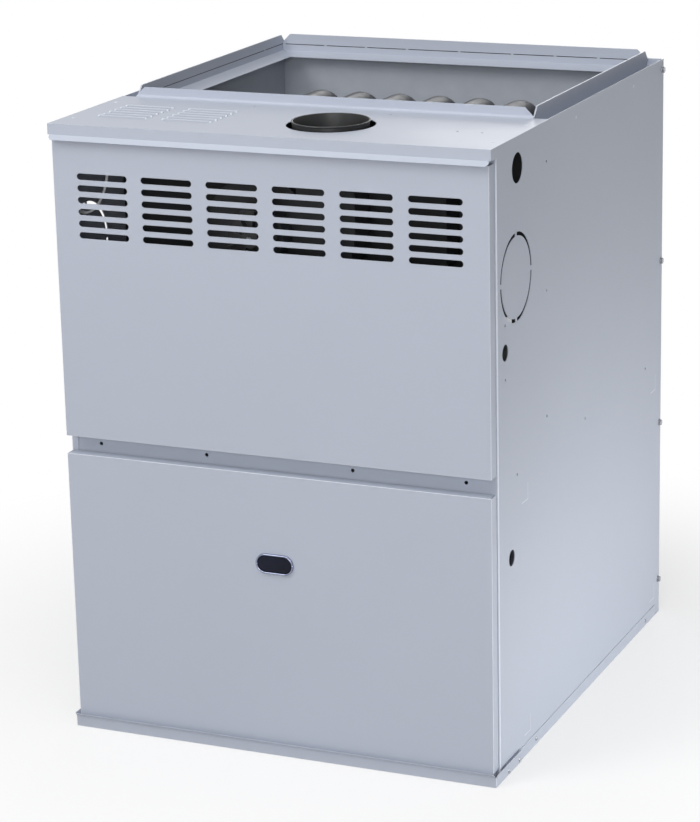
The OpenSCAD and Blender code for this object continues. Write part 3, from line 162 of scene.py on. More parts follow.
def spangle(name, color, rough, cells=90.0, rough_spread=0.07):
    """Galvanised sheet: crystal patches of slightly different brightness and gloss."""
    mat, tree, bsdf = new_material(name)
    patch = new_node(tree, "TexVoronoi", {"Vector": object_point(tree), "Scale": cells})
    split = new_node(tree, "SeparateColor", {"Color": patch.outputs["Color"]})
    set_inputs(bsdf, {
        "Base Color": ramp(tree, split.outputs["Red"], shade(color, 0.86), shade(color, 1.12), 0.0, 1.0),
        "Roughness": ramp(tree, split.outputs["Green"], grey(rough - rough_spread),
                          grey(rough + rough_spread), 0.0, 1.0),
        "Metallic": 0.85,
    })
    return mat


def lay_over(mat, share, color):
    """Puts a second colour over the material's own, as far as the share says."""
    tree = mat.node_tree
    bsdf = next(n for n in tree.nodes if n.type == "BSDF_PRINCIPLED")
    own = bsdf.inputs["Base Color"].links[0].from_socket
    mix = new_node(tree, "Mix", {"Factor": share, "A": own, "B": color}, data_type="RGBA")
    set_inputs(bsdf, {"Base Color": mix.outputs["Result"]})


def faced_board(name, color, back, edge_x, edge_y):
    """A lining with a pale face, and dark fibre on the sides that lie against the casing's walls."""
    mat = surface(name, color, 0.60, 0.04, 30.0, (0.5, 180.0, 0.2))
    tree = mat.node_tree
    split = new_node(tree, "SeparateXYZ", {"Vector": object_point(tree)})
    outside = []
    for axis, edge in (("X", edge_x), ("Y", edge_y)):
        size = new_node(tree, "Math", {0: split.outputs[axis]}, operation="ABSOLUTE")
        test = new_node(tree, "Math", {0: size.outputs[0], 1: edge}, operation="GREATER_THAN")
        outside.append(test.outputs[0])
    wall = new_node(tree, "Math", {0: outside[0], 1: outside[1]}, operation="MAXIMUM")
    fibre = noise(tree, 400.0, detail=4.0, rough=0.7)
    lay_over(mat, wall.outputs[0], ramp(tree, fibre, shade(back, 0.7), shade(back, 1.3)))
    return mat


def paint_fold_highlights(mat, color):
    """Paints highlights on folds and cut edges, the faces that folded() made, as a lighter coat colour."""
    made = new_node(mat.node_tree, "Attribute", {}, attribute_name="made")
    lay_over(mat, made.outputs["Fac"], color)


# Beyond these distances from the middle, in metres, the liners' board lies against the casing
LINER_EDGE_X, LINER_EDGE_Y = 0.3082, 0.3602

# A surface has a name, colour, roughness, the spread and scale of its colour's noise, and its bump's
# strength, scale and depth in millimetres; colours are linear, some of them from srgb()
mats = {
    "paint": surface("casing_paint", srgb(187, 193, 206), 0.40, 0.012, 2.5, (0.25, 700.0, 0.03),
                     rough_spread=0.03, spec=0.15),
    "galvanised": spangle("galvanised_sheet", (0.42, 0.43, 0.45, 1), 0.42),
    # Lighter than the casing's paint: a painted highlight on the dimples, the scribed corner lines and the
    # vent ridges
    "mark": surface("scribed_mark", srgb(214, 219, 228), 0.5, 0.02, 40.0, (0.2, 900.0, 0.02)),
    # Painted shade: the vestibule, collector box and inducer housing are near-black so the inside looks dark
    # through the louvres
    "dark_shade_sheet": surface("inner_sheet_painted_shade", (0.040, 0.042, 0.046, 1), 0.6, 0.25, 14.0,
                          (0.3, 300.0, 0.05)),
    "liner": faced_board("liner_facing", srgb(182, 188, 199), (0.02, 0.02, 0.022, 1),
                         LINER_EDGE_X, LINER_EDGE_Y),
    "tube": surface("tube_coating", srgb(35, 37, 41), 0.36, 0.15, 18.0, (0.2, 260.0, 0.04), spec=0.35),
    "motor_grey": surface("motor_paint", srgb(62, 65, 70), 0.5, 0.06, 40.0, (0.3, 900.0, 0.03)),
    "black": surface("black_coating", srgb(30, 31, 33), 0.45, 0.15, 25.0, (0.3, 500.0, 0.04)),
    "zinc": surface("zinc_plate", (0.36, 0.37, 0.39, 1), 0.24, 0.08, 160.0, (0.15, 1500.0, 0.02),
                    metallic=1.0),
    "cast": surface("cast_metal", (0.42, 0.43, 0.45, 1), 0.45, 0.08, 60.0, (0.6, 900.0, 0.08),
                    metallic=0.9),
    "brass": surface("turned_brass", (0.66, 0.48, 0.19, 1), 0.25, 0.06, 200.0, (0.2, 1800.0, 0.02),
                     metallic=1.0, stretch=(1, 8, 1)),
    "ceramic": surface("bisque_ceramic", (0.72, 0.69, 0.62, 1), 0.75, 0.04, 120.0, (0.3, 1400.0, 0.03)),
    "black_plastic": surface("black_moulding", (0.022, 0.022, 0.024, 1), 0.48, 0.12, 60.0,
                             (0.4, 1600.0, 0.03)),
    "white_plastic": surface("white_moulding", (0.72, 0.73, 0.74, 1), 0.42, 0.02, 60.0,
                             (0.2, 1600.0, 0.02)),
    "red_plastic": surface("red_moulding", (0.42, 0.02, 0.015, 1), 0.3, 0.05, 90.0, (0.1, 1600.0, 0.02)),
    "silicone": surface("white_hose", (0.88, 0.89, 0.90, 1), 0.40, 0.03, 70.0, (0.2, 900.0, 0.04)),
    "board": surface("board_laminate", (0.02, 0.11, 0.05, 1), 0.35, 0.3, 220.0, (0.3, 800.0, 0.1)),
    "lens": surface("sight_lens", srgb(26, 29, 44), 0.08, 0.2, 40.0, (0.03, 200.0, 0.02),
                    rough_spread=0.02, spec=0.12),
    "rim": surface("bright_rim", (0.25, 0.27, 0.37, 1), 0.12, 0.05, 120.0, (0.08, 900.0, 0.02),
                   metallic=1.0, rough_spread=0.03),
}
# Painted highlights: the folds and cut edges of the painted sheet get a lighter colour
paint_fold_highlights(mats["paint"], srgb(226, 230, 240))

# The nodes that have each material
NODE_MATERIAL = {
    "paint": ["left_side_panel", "right_side_panel", "back_panel", "top_pan", "base_front_rail",
              "base_left_rail", "base_right_rail", "duct_flange_left", "duct_flange_right",
              "duct_flange_back", "middle_rail", "upper_door", "lower_door"],
    "galvanised": ["blower_deck", "burner_assembly", "burner_bracket", "junction_box", "blower_housing",
                   "motor_mount", "control_panel", "inducer_wheel", "blower_wheel"],
    "dark_shade_sheet": ["vestibule_panel", "collector_box", "inducer_housing"],
    "liner": ["insulation_left", "insulation_right", "insulation_back"],
    "tube": ["exchanger_tube_%d" % i for i in range(1, 7)],
    "black": ["flue_collar", "gas_manifold", "blower_motor", "transformer"],
    "zinc": ["casing_screws", "base_rivets", "inducer_shaft", "blower_shaft", "capacitor"],
    "motor_grey": ["inducer_motor"],
    "cast": ["gas_valve"],
    "brass": ["gas_orifices"],
    "ceramic": ["igniter", "flame_sensor"],
    "black_plastic": ["inducer_cooling_fan", "gas_valve_knob", "rollout_switch", "limit_switch",
                      "pressure_switch", "door_switch"],
    "white_plastic": ["door_switch_plunger"],
    "red_plastic": ["rollout_reset_button"],
    "silicone": ["pressure_hose"],
    "board": ["control_board"],
    "lens": ["sight_glass_lens"],
    "rim": ["sight_glass_rim"],
}
KEY = {node: key for key, names in NODE_MATERIAL.items() for node in names}


def dress_nodes():
    for node, key in KEY.items():
        nodes[node].data.materials.clear()
        nodes[node].data.materials.append(mats[key])


# ---------------------------------------------------------------- folded sheet

# Cosines of the angles between faces: of one flat region, of one broad face, of a broad face and a
# fold's face that takes its direction, and of the faces of one rounding
FLAT_COS, BROAD_COS, TAKEN_COS, ROUND_COS = 0.9998, 0.90, 0.5, 0.4
# Least angles in degrees, of an edge that isn't dissolved, that is bent, that is softened as a raw
# edge, and that stays sharp in the other meshes
MERGE_ANGLE, BENT_ANGLE, RAW_ANGLE, SHARP_ANGLE = 0.6, 24.0, 60.0, 35.0
# Distance in metres within which points are one, and within which an edge is where it should be
SAME_POINT, SAME_PLACE = 2e-6, 1e-5


def add_object(name, mesh, key, body="casing"):
    obj = bpy.data.objects.new(name, mesh)
    scene.collection.objects.link(obj)
    mesh.materials.clear()
    mesh.materials.append(mats[key])
    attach(obj, body)
    return obj


def near_sum(faces, normal, limit, weight):
    """The weighted direction of the faces that are turned nearly as the normal is."""
    total = Vector((0.0, 0.0, 0.0))
    for f in faces:
        if f.normal.dot(normal) > limit:
            total += f.normal * weight[f]
    return total.normalized() if total.length > 0 else normal


def hard_normals(bm, made):
    """Loop normals that keep broad faces flat and turn the rounded edges between them smoothly."""
    region, members = flat_regions(bm)
    area = [0.0] * len(members)
    for f in bm.faces:
        area[region[f]] += f.calc_area()
    weight = {f: area[region[f]] for f in bm.faces}
    normals = []
    for f in bm.faces:
        for loop in f.loops:
            plain = [g for g in loop.vert.link_faces if not g[made]]
            if not f[made]:
                normals.append(near_sum(plain, f.normal, BROAD_COS, weight))
                continue
            best = max(plain, key=lambda g: g.normal.dot(f.normal), default=None)
            if best is not None and best.normal.dot(f.normal) > TAKEN_COS:
                normals.append(near_sum(plain, best.normal, BROAD_COS, weight))
            else:
                rounded = [g for g in loop.vert.link_faces if g[made]]
                normals.append(near_sum(rounded, f.normal, ROUND_COS, {g: 1.0 for g in rounded}))
    return normals


def shade_smooth(mesh):
    for p in mesh.polygons:
        p.use_smooth = True


def flat_regions(bm):
    """Number of the flat region that each face belongs to, and the regions' vertices."""
    region, members = {}, []
    for face in bm.faces:
        if face in region:
            continue
        index = len(members)
        stack, verts = [face], set()
        region[face] = index
        while stack:
            f = stack.pop()
            verts.update(f.verts)
            for e in f.edges:
                for g in e.link_faces:
                    if g not in region and g.normal.dot(face.normal) > FLAT_COS:
                        region[g] = index
                        stack.append(g)
        members.append(verts)
    return region, members


def span(verts, direction):
    d = [v.co.dot(direction) for v in verts]
    return max(d) - min(d)


def fold_edges(bm, thin, made):
    """Sharp convex edges, split into folds between broad faces and the raw edges of the sheet."""
    region, members = flat_regions(bm)
    folds, raw = [], []
    for e in bm.edges:
        if len(e.link_faces) != 2 or not e.is_convex:
            continue
        f, g = e.link_faces
        if f[made] or g[made] or e.calc_face_angle() < math.radians(BENT_ANGLE):
            continue
        along = (e.verts[1].co - e.verts[0].co).normalized()
        widths = [span(members[region[x]], x.normal.cross(along)) for x in (f, g)]
        (folds if min(widths) > thin else raw).append(e)
    return folds, raw


def bevel(bm, edges, width, segments, made):
    if edges:
        new = bmesh.ops.bevel(bm, geom=edges, offset=width * MM, offset_type="OFFSET", segments=segments,
                              profile=0.5, affect="EDGES", clamp_overlap=True, miter_outer="ARC")
        for f in new["faces"]:
            f[made] = 1


def folded(node, fold, raw=0.18, thin=1.7, wide=None, body="casing", segments=4):
    """Replaces a node by a copy with rounded folds and softened raw edges.

    thin is the widest face that counts as the sheet's thickness, and wide is the test of some folds
    that come first, with their radius and segments.
    """
    mesh = nodes[node].data.copy()
    mesh.name = node + "_skin"
    bm = bmesh.new()
    bm.from_mesh(mesh)
    made = bm.faces.layers.int.new("made")
    bmesh.ops.remove_doubles(bm, verts=bm.verts, dist=SAME_POINT)
    bmesh.ops.dissolve_limit(bm, angle_limit=math.radians(MERGE_ANGLE), verts=bm.verts, edges=bm.edges,
                             use_dissolve_boundaries=False)
    if wide:
        test, radius, steps = wide
        bevel(bm, [e for e in fold_edges(bm, thin * MM, made)[0] if test(e)], radius, steps, made)
    bevel(bm, fold_edges(bm, thin * MM, made)[0], fold, segments, made)
    if raw:
        edges = [e for e in fold_edges(bm, thin * MM, made)[1]
                 if e.calc_face_angle() > math.radians(RAW_ANGLE)]
        bevel(bm, edges, raw, 1, made)
    bm.normal_update()
    normals = hard_normals(bm, made)
    bm.to_mesh(mesh)
    bm.free()
    obj = add_object(node + "_skin", mesh, KEY[node], body)
    shade_smooth(mesh)
    mesh.normals_split_custom_set([tuple(n) for n in normals])
    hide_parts(node)


def front_corner(edge):
    """Whether an edge is the fold between a side panel and its front return."""
    x, y = HALF_W * MM, (DOOR_Y + SIDE_FRONT) * MM
    return all(abs(abs(v.co.x) - x) < SAME_PLACE and abs(v.co.y - y) < SAME_PLACE for v in edge.verts)


def make_sheet_pieces():
    folded("upper_door", fold=1.6, raw=0.45, body="upper_door_panel")
    folded("lower_door", fold=1.6, raw=0.3, body="lower_door_panel")
    folded("top_pan", fold=1.3, raw=0.2)
    for side in ("left", "right"):
        folded(side + "_side_panel", fold=1.4, wide=(front_corner, 1.5, 6))
        folded("base_%s_rail" % side, fold=0.9)
    folded("back_panel", fold=1.4)
    folded("base_front_rail", fold=0.9, raw=0.25)
    folded("middle_rail", fold=1.4)
    for side in ("left", "right", "back"):
        folded("duct_flange_" + side, fold=0.9, raw=0.3, thin=2.4)
        folded("insulation_" + side, fold=4.0, raw=0)
    folded("casing_screws", fold=0.45, raw=0.25, thin=0.3, segments=3)
    folded("base_rivets", fold=0.2, raw=0.15, thin=0.3, segments=2)


def make_inner_pieces():
    for node in ("vestibule_panel", "blower_deck", "collector_box", "burner_bracket", "junction_box",
                 "control_panel"):
        folded(node, fold=0.8, raw=0.2, thin=1.3, segments=3)
    for node in ("gas_valve", "transformer", "capacitor", "control_board", "pressure_switch",
                 "inducer_motor", "blower_motor", "door_switch", "rollout_switch", "limit_switch"):
        folded(node, fold=0.7, raw=0.2, thin=1.9, segments=3)
    for node in ("inducer_housing", "blower_housing", "motor_mount"):
        folded(node, fold=0.8, raw=0.2, thin=1.9, segments=3)
    folded("gas_valve_knob", fold=0.8, raw=0.3, thin=1.9, body="valve_knob", segments=3)


# ---------------------------------------------------------------- rings of points, in millimetres

def at(x, y, z):
    """A point given from the middle, the door faces and the floor, in the frame."""
    return (x, y + DOOR_Y, z)


def circle(center, radius, side, up, n):
    """Points round a center, in the plane of two directions."""
    turns = [2 * math.pi * k / n for k in range(n)]
    return [tuple(center + radius * (math.cos(t) * side + math.sin(t) * up)) for t in turns]


def ring_mesh(name, rings, closed=False):
    """A mesh between rings of points of equal number; closed joins the last ring to the first."""
    n, m = len(rings[0]), len(rings)
    faces = []
    for i in range(m if closed else m - 1):
        a, b = i * n, ((i + 1) % m) * n
        for k in range(n):
            faces.append((a + k, a + (k + 1) % n, b + (k + 1) % n, b + k))
    if not closed:
        faces.append(tuple(range(n - 1, -1, -1)))
        faces.append(tuple(range((m - 1) * n, m * n)))
    mesh = bpy.data.meshes.new(name)
    mesh.from_pydata([tuple(v * MM for v in p) for ring in rings for p in ring], [], faces)
    bm = bmesh.new()
    bm.from_mesh(mesh)
    bmesh.ops.recalc_face_normals(bm, faces=bm.faces)
    return finished(bm, mesh)


def finished(bm, mesh):
    """The mesh, filled from bm, with every edge smooth that isn't sharp."""
    bm.to_mesh(mesh)
    bm.free()
    shade_smooth(mesh)
    mesh.set_sharp_from_angle(angle=math.radians(SHARP_ANGLE))
    return mesh


def joined(name, parts):
    """One mesh made of several, which are removed."""
    bm = bmesh.new()
    for mesh in parts:
        bm.from_mesh(mesh)
        bpy.data.meshes.remove(mesh)
    return finished(bm, bpy.data.meshes.new(name))


# A direction that no line to be swept starts in
ASKEW = Vector((0.31, 0.2, 1.0))


def sweep_rings(points, radius, n, first=None, last=None):
    """Rings along a line; first and last are its directions at the ends, where they are given."""
    pts = [Vector(p) for p in points]
    rings, side = [], None
    for i, p in enumerate(pts):
        along = (pts[min(i + 1, len(pts) - 1)] - pts[max(i - 1, 0)]).normalized()
        if i == 0 and first:
            along = Vector(first)
        if i == len(pts) - 1 and last:
            along = Vector(last)
        side = (side or ASKEW.cross(along)).normalized()
        side = (side - along * side.dot(along)).normalized()
        rings.append(circle(p, radius(i) if callable(radius) else radius, side, along.cross(side), n))
    return rings


def curve_through(points, steps):
    """Points of a smooth curve through the given points."""
    pts = [Vector(p) for p in points]
    out = []
    for i in range(len(pts) - 1):
        p0, p1, p2, p3 = pts[max(i - 1, 0)], pts[i], pts[i + 1], pts[min(i + 2, len(pts) - 1)]
        for k in range(steps):
            u = k / steps
            out.append(0.5 * (2 * p1 + (p2 - p0) * u + (2 * p0 - 5 * p1 + 4 * p2 - p3) * u * u
                              + (3 * p1 - p0 - 3 * p2 + p3) * u * u * u))
    out.append(pts[-1])
    return [tuple(p) for p in out]


# Share of a bar's least size that its edges lose
BAR_CHAMFER = 0.12
# Radius and height of a dimple's rings, as shares of its own
DIMPLE_RINGS = ((1.0, -0.15), (1.0, 0.02), (0.85, 0.45), (0.6, 0.8), (0.3, 0.96), (0.02, 1.0))


def dimple(center, normal, radius, height):
    """A low round dimple that stands on a sheet."""
    out = Vector(normal)
    side = out.orthogonal().normalized()
    up = out.cross(side)
    return ring_mesh("dimple", [circle(Vector(center) + height * h * out, radius * q, side, up, n=20)
                                for q, h in DIMPLE_RINGS])


def bar(x0, x1, y0, y1, z0, z1):
    """A straight bar with its edges taken off."""
    c = BAR_CHAMFER * min(x1 - x0, y1 - y0, z1 - z0)
    rings = []
    for z, d in ((z0, c), (z0 + c, 0.0), (z1 - c, 0.0), (z1, c)):
        rings.append([at(*p, z) for p in ((x0 + d, y0 + c + d), (x0 + c + d, y0 + d), (x1 - c - d, y0 + d),
                                          (x1 - d, y0 + c + d), (x1 - d, y1 - c - d), (x1 - c - d, y1 - d),
                                          (x0 + c + d, y1 - d), (x0 + d, y1 - c - d))])
    return ring_mesh("bar", rings)


def beside(side, x0, x1, *rest):
    """A bar that is given for the right side, on either side."""
    return bar(*(sorted((side * x0, side * x1))), *rest)


# ---------------------------------------------------------------- sight glass, flue collar, hose, tubes

# Length and height of the sight glass, and the X and Z of its middle
SIGHT_LEN, SIGHT_H, SIGHT_X, SIGHT_Z = 55.0, 28.0, -1.0, 274.5
# Points of the sections: how far inside the outline, and how far behind the door's face
RIM_SECTION = [(0.15, 0.0), (0.0, -0.35), (0.0, -1.7), (0.2, -2.35), (0.65, -2.85), (1.2, -3.0),
               (1.75, -2.9), (2.2, -2.5), (2.45, -1.9), (2.6, -1.0), (2.6, 6.0), (1.4, 6.0), (1.4, 0.0)]
LENS_SECTION = [(2.8, 4.0), (2.8, -1.0), (2.95, -1.25), (3.4, -1.45), (4.4, -1.7), (6.0, -1.95),
                (8.0, -2.15), (10.0, -2.3), (12.0, -2.38), (13.9, -2.4)]


def sight_ring(inset, y):
    """A ring of the sight glass's outline, which has round ends."""
    half, r, n = (SIGHT_LEN - SIGHT_H) / 2, SIGHT_H / 2 - inset, 24
    pts = []
    for s, start in ((1, -90), (-1, 90)):
        for k in range(n + 1):
            a = math.radians(start + 180.0 * k / n)
            pts.append(at(SIGHT_X + s * half + r * math.cos(a), y, SIGHT_Z + r * math.sin(a)))
    return pts


def make_sight_glass():
    rings = [sight_ring(*p) for p in RIM_SECTION]
    obj = add_object("sight_rim_bead", ring_mesh("sight_rim_bead", rings, True), "rim", "lower_door_panel")
    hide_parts("sight_glass_rim")
    rings = [sight_ring(*p) for p in LENS_SECTION]
    obj = add_object("sight_lens_dome", ring_mesh("sight_lens_dome", rings), "lens", "lower_door_panel")
    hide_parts("sight_glass_lens")


# The inducer's X and Y, its scroll's widest and narrowest radius, and the angle of its cut-off
INDUCER_X, INDUCER_Y, INDUCER_MAX, INDUCER_MIN, INDUCER_CUTOFF = -32.0, 99.0, 126.0, 66.0, 50.0
# The collar's radius, and the Z of its lower and upper end
FLUE_R, FLUE_LOW, FLUE_TOP = 50.8, 790.1, 860.0


def make_flue_collar():
    """A pipe stub with a rolled upper edge and a foot flange."""
    x = INDUCER_X + (INDUCER_MAX + INDUCER_MIN * math.cos(math.radians(INDUCER_CUTOFF))) / 2
    r, low, top = FLUE_R, FLUE_LOW, FLUE_TOP
    section = [(r - 1.0, low), (r - 1.0, top - 0.9), (r - 0.8, top - 0.35), (r - 0.2, top - 0.05),
               (r + 0.5, top), (r + 1.2, top - 0.3), (r + 1.55, top - 1.1), (r + 1.3, top - 1.9),
               (r + 0.6, top - 2.3), (r, top - 2.4), (r, low + 2.3), (r + 0.3, low + 1.7),
               (r + 0.9, low + 1.5), (r + 3.7, low + 1.5), (r + 4.0, low + 1.2), (r + 4.0, low)]
    rings = [circle(Vector(at(x, INDUCER_Y, z)), q, Vector((1, 0, 0)), Vector((0, 1, 0)), n=128)
             for q, z in section]
    obj = add_object("flue_collar_rolled", ring_mesh("flue_collar_rolled", rings, True), "black")
    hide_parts("flue_collar")


# The hose's course, with Z from the casing's top; its two ends are straight
HOSE = [(-249, 154, -253.5), (-258, 136, -252), (-271, 114, -248), (-284, 92, -240), (-294, 72, -227),
        (-300, 56, -208), (-302, 48, -188), (-302.5, 44, -168), (-302, 42, -150), (-299.5, 40.5, -135),
        (-296, 40, -128.3), (-291, 40, -126.6), (-285.4, 40, -127.2), (-279, 40, -125.8),
        (-273.5, 40, -123), (-268.6, 40, -119.2), (-264.6, 40, -114.6), (-260.2, 40, -107.4),
        (-255.8, 40, -98.4), (-253, 40, -91), (-250.6, 40, -82), (-249.2, 40, -74.5), (-247.6, 41, -64),
        (-244, 44, -54), (-236, 49, -45), (-222, 55, -39), (-204, 61, -37), (-184, 69, -38),
        (-164, 82, -41), (-147, 101, -46), (-134, 123, -53), (-127, 141, -60)]
HOSE_START = [(-245, 178, -254), (-245, 168, -254)]
HOSE_END = [(-125, 149, -64), (-125, 155, -64)]
HOSE_R, CUFF_R = 1.9, 2.9
# The hose's points round its bend, the steps from one to the next, and the steps that the cuff covers
BEND_POINTS, BEND_STEPS, CUFF_STEPS = slice(11, 16), 8, slice(4, 28)
# How much narrower the cuff is at its end rings, at those next to them, and between
CUFF_EDGE = (0.5, 0.12, 0.0)


def make_hose():
    points = [at(x, y, CASING_H + z) for x, y, z in HOSE_START + HOSE + HOSE_END]
    rings = sweep_rings(curve_through(points, steps=4), HOSE_R, 24, (0, -1, 0), (0, 1, 0))
    obj = add_object("hose_tube", ring_mesh("hose_tube", rings), "silicone")
    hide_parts("pressure_hose")
    # White cuff over the bend of the hose
    bend = curve_through(points[BEND_POINTS], BEND_STEPS)[CUFF_STEPS]
    rings = sweep_rings(bend, lambda i: CUFF_R - CUFF_EDGE[min(i, len(bend) - 1 - i, 2)], 24)
    add_object("hose_cuff", ring_mesh("hose_cuff", rings), "silicone")


TUBES, TUBE_PITCH, TUBE_R, TUBE_WALL = 6, 62.0, 25.0, 1.2
# Height between a tube's passes, the top one's drop below the casing's top, and the Y of a tube's ends
# and of its bends' centers
PASS_PITCH, TOP_PASS_DROP, TUBE_END_Y, REAR_BEND_Y, FRONT_BEND_Y = 83.0, 62.0, 215.0, 528.0, 299.5


def tube_path():
    """Y and Z of a tube's middle line: four passes, with bends at the rear, the front and the rear."""
    bends, steps, r = ((REAR_BEND_Y, 1), (FRONT_BEND_Y, -1), (REAR_BEND_Y, 1)), 24, PASS_PITCH / 2
    low = CASING_H - TOP_PASS_DROP - len(bends) * PASS_PITCH
    path = [(TUBE_END_Y, low)]
    for i, (y, way) in enumerate(bends):
        z = low + r + i * PASS_PITCH
        for k in range(steps + 1):
            a = math.radians(-90 + 180.0 * k / steps)
            path.append((y + way * r * math.cos(a), z + r * math.sin(a)))
    return path + [(TUBE_END_Y, low + len(bends) * PASS_PITCH)]


def make_tubes():
    path = tube_path()
    across = Vector((1, 0, 0))
    for i in range(1, TUBES + 1):
        x = (i - (TUBES + 1) / 2) * TUBE_PITCH
        outer, inner = [], []
        for j, (y, z) in enumerate(path):
            a, b = path[max(j - 1, 0)], path[min(j + 1, len(path) - 1)]
            along = Vector((0, b[0] - a[0], b[1] - a[1])).normalized()
            if j in (0, len(path) - 1):
                along = Vector((0, 1 if j == 0 else -1, 0))
            for rings, r in ((outer, TUBE_R), (inner, TUBE_R - TUBE_WALL)):
                rings.append(circle(Vector(at(x, y, z)), r, across, across.cross(along), n=40))
        name = "serpentine_tube_%d" % i
        obj = add_object(name, ring_mesh(name, outer + inner[::-1], True), "tube")
        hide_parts("exchanger_tube_%d" % i)


# ---------------------------------------------------------------- small marks, painted lighter as highlights

# Radius and height of the dimples on the pan and on the sides, and their places
PAN_DIMPLE, PAN_DIMPLE_X, PAN_DIMPLE_Y = (2.6, 0.6), 298.0, (43.5, 165.0)
SIDE_DIMPLE, SIDE_DIMPLE_Z, SIDE_DIMPLE_Y = (2.4, 0.6), 837.0, (325.0, 575.0)
# Y and Z of the scribed corners, the length and width of their lines, and how deep the lower and the
# upper side of their lighter paint lie, which paints the highlights on the corners' edges
SCRIBED_CORNERS = ((130.0, 360.0), (691.0, 360.0), (136.0, 28.5), (693.0, 28.5))
SCRIBE_ARM, SCRIBE_W, SCRIBE_BOTTOM, SCRIBE_HIGHLIGHT = 24.0, 1.6, 0.4, 0.08


def make_small_marks():
    """Dimples on the pan and the sides, and the sides' scribed corners, in the lighter colour of painted
    highlights.
    """
    parts = [dimple(at(s * PAN_DIMPLE_X, y, CASING_H), (0, 0, 1), *PAN_DIMPLE)
             for s in (-1, 1) for y in PAN_DIMPLE_Y]
    parts += [dimple(at(s * HALF_W, y, SIDE_DIMPLE_Z), (s, 0, 0), *SIDE_DIMPLE)
              for s in (-1, 1) for y in SIDE_DIMPLE_Y]
    add_object("sheet_dimples_highlighted", joined("sheet_dimples_highlighted", parts), "mark")
    # Lighter paint in the scribed lines of the side panels, a little below the panels' faces: painted
    # highlights
    paint = (HALF_W - SCRIBE_BOTTOM, HALF_W - SCRIBE_HIGHLIGHT)
    lines = []
    for s in (-1, 1):
        for y, z in SCRIBED_CORNERS:
            lines.append(beside(s, *paint, y - SCRIBE_W, y, z, z + SCRIBE_ARM))
            lines.append(beside(s, *paint, y - SCRIBE_ARM, y - SCRIBE_W, z, z + SCRIBE_W))
    add_object("scribed_highlight_lines", joined("scribed_highlight_lines", lines), "mark")


# The X of the vent groups' middles, vents in a group, the first one's Y and the step to the next
VENT_GROUPS, VENTS, VENT_FIRST_Y, VENT_PITCH = (-234.0, -139.0), 6, 64.0, 15.8
# The ridge of a hood: its steps to either side and their width, its radius, and how far it is in
# front of the hood's middle and over the pan; the hood's rounded ends: their distance from its middle,
# and their radius and height
RIDGE_STEPS, RIDGE_STEP, RIDGE_R, RIDGE_Y, RIDGE_Z = 5, 7.2, 0.5, 0.1, 1.55
HOOD_END_X, HOOD_END_Y, HOOD_END = 35.2, 1.8, (2.0, 2.0)
# The closed corner of the pan's front, in X, Y and Z
PAN_CORNER = (309.6, 311.2, -3.0, -2.0, 839.5, 853.0)


def make_pan_details():
    """Rounded ridges and ends on the vents' hoods, whose lighter colour is a painted highlight, and the
    closed corners of the pan's front.
    """
    ridges = []
    for x in VENT_GROUPS:
        for i in range(VENTS):
            y = VENT_FIRST_Y + VENT_PITCH * i
            line = [at(x + k * RIDGE_STEP, y - RIDGE_Y, CASING_H + RIDGE_Z)
                    for k in range(-RIDGE_STEPS, RIDGE_STEPS + 1)]
            ridges.append(ring_mesh("ridge", sweep_rings(line, RIDGE_R, 10)))
            ridges += [dimple(at(x + e * HOOD_END_X, y - HOOD_END_Y, CASING_H), (0, 0, 1), *HOOD_END)
                       for e in (-1, 1)]
    add_object("vent_ridge_highlights", joined("vent_ridge_highlights", ridges), "mark")
    add_object("pan_corners", joined("pan_corners", [beside(s, *PAN_CORNER) for s in (-1, 1)]), "paint")


# The dark strips in the duct flange's folds, which are painted shade: half their height, and their
# distance from the middle of the bridges between them, which are given for the back; then their places
# in the back and side webs
STRIP_HALF_H, BRIDGE_HALF = 0.56, 2.1
BRIDGES = (-286.8, -218.0, -151.0, -84.0, 0.0, 84.0, 151.0, 218.0, 286.8)
BACK_WEB_Y, SIDE_WEB_X = (697.2, 698.6), (289.2, 290.15)
SIDE_SLOTS = ((219.4, 287.2), (291.4, 629.9), (634.1, 701.9))


def make_fold_strips():
    """Dark strips in the slots and grooves of the duct flange's folds, as painted shade."""
    heights = (CASING_H - STRIP_HALF_H, CASING_H + STRIP_HALF_H)
    parts = [bar(a + BRIDGE_HALF, b - BRIDGE_HALF, *BACK_WEB_Y, *heights)
             for a, b in zip(BRIDGES, BRIDGES[1:])]
    parts += [beside(s, *SIDE_WEB_X, *ends, *heights) for s in (-1, 1) for ends in SIDE_SLOTS]
    add_object("fold_slot_shade", joined("fold_slot_shade", parts), "black")


# ---------------------------------------------------------------- floor and light

# The floor's half width and its depth below the feet, in metres
FLOOR_HALF, FLOOR_DEPTH = 30.0, 0.0002
# Its brightness for the light that it throws back, and for the camera
FLOOR_BOUNCE, FLOOR_SEEN = 0.62, 0.97
# The white backdrop's share under the object, and the distances in metres where it starts to grow and
# where it is whole
NEAR_SHARE, WHITE_FROM, WHITE_TO = 0.6, 0.35, 1.1
WORLD_COLOR, WORLD_STRENGTH = (0.96, 0.98, 1.0, 1.0), 0.18
LAMPS = [
    # name, colour, watts, then size, place and aim in metres
    ("key", (1.0, 0.995, 0.985), 53.0, (1.6, 1.6), (-1.9, -2.6, 3.2), (0.0, 0.0, 0.5)),
    ("fill", (1.0, 1.0, 1.0), 47.0, (1.6, 1.6), (1.1, -3.9, 1.5), (0.0, 0.0, 0.45)),
    ("top_front", (1.0, 1.0, 1.0), 36.0, (1.6, 1.6), (0.2, -1.2, 3.4), (0.0, -0.1, 0.8)),
    ("back_fill", (1.0, 1.0, 1.0), 30.0, (1.6, 1.6), (-0.6, 3.9, 1.5), (0.0, 0.3, 0.45)),
    ("right_strip", (0.99, 1.0, 1.0), 3.9, (1.1, 0.06), (0.95, 0.0, 0.035), (0.31, 0.0, 0.035)),
]


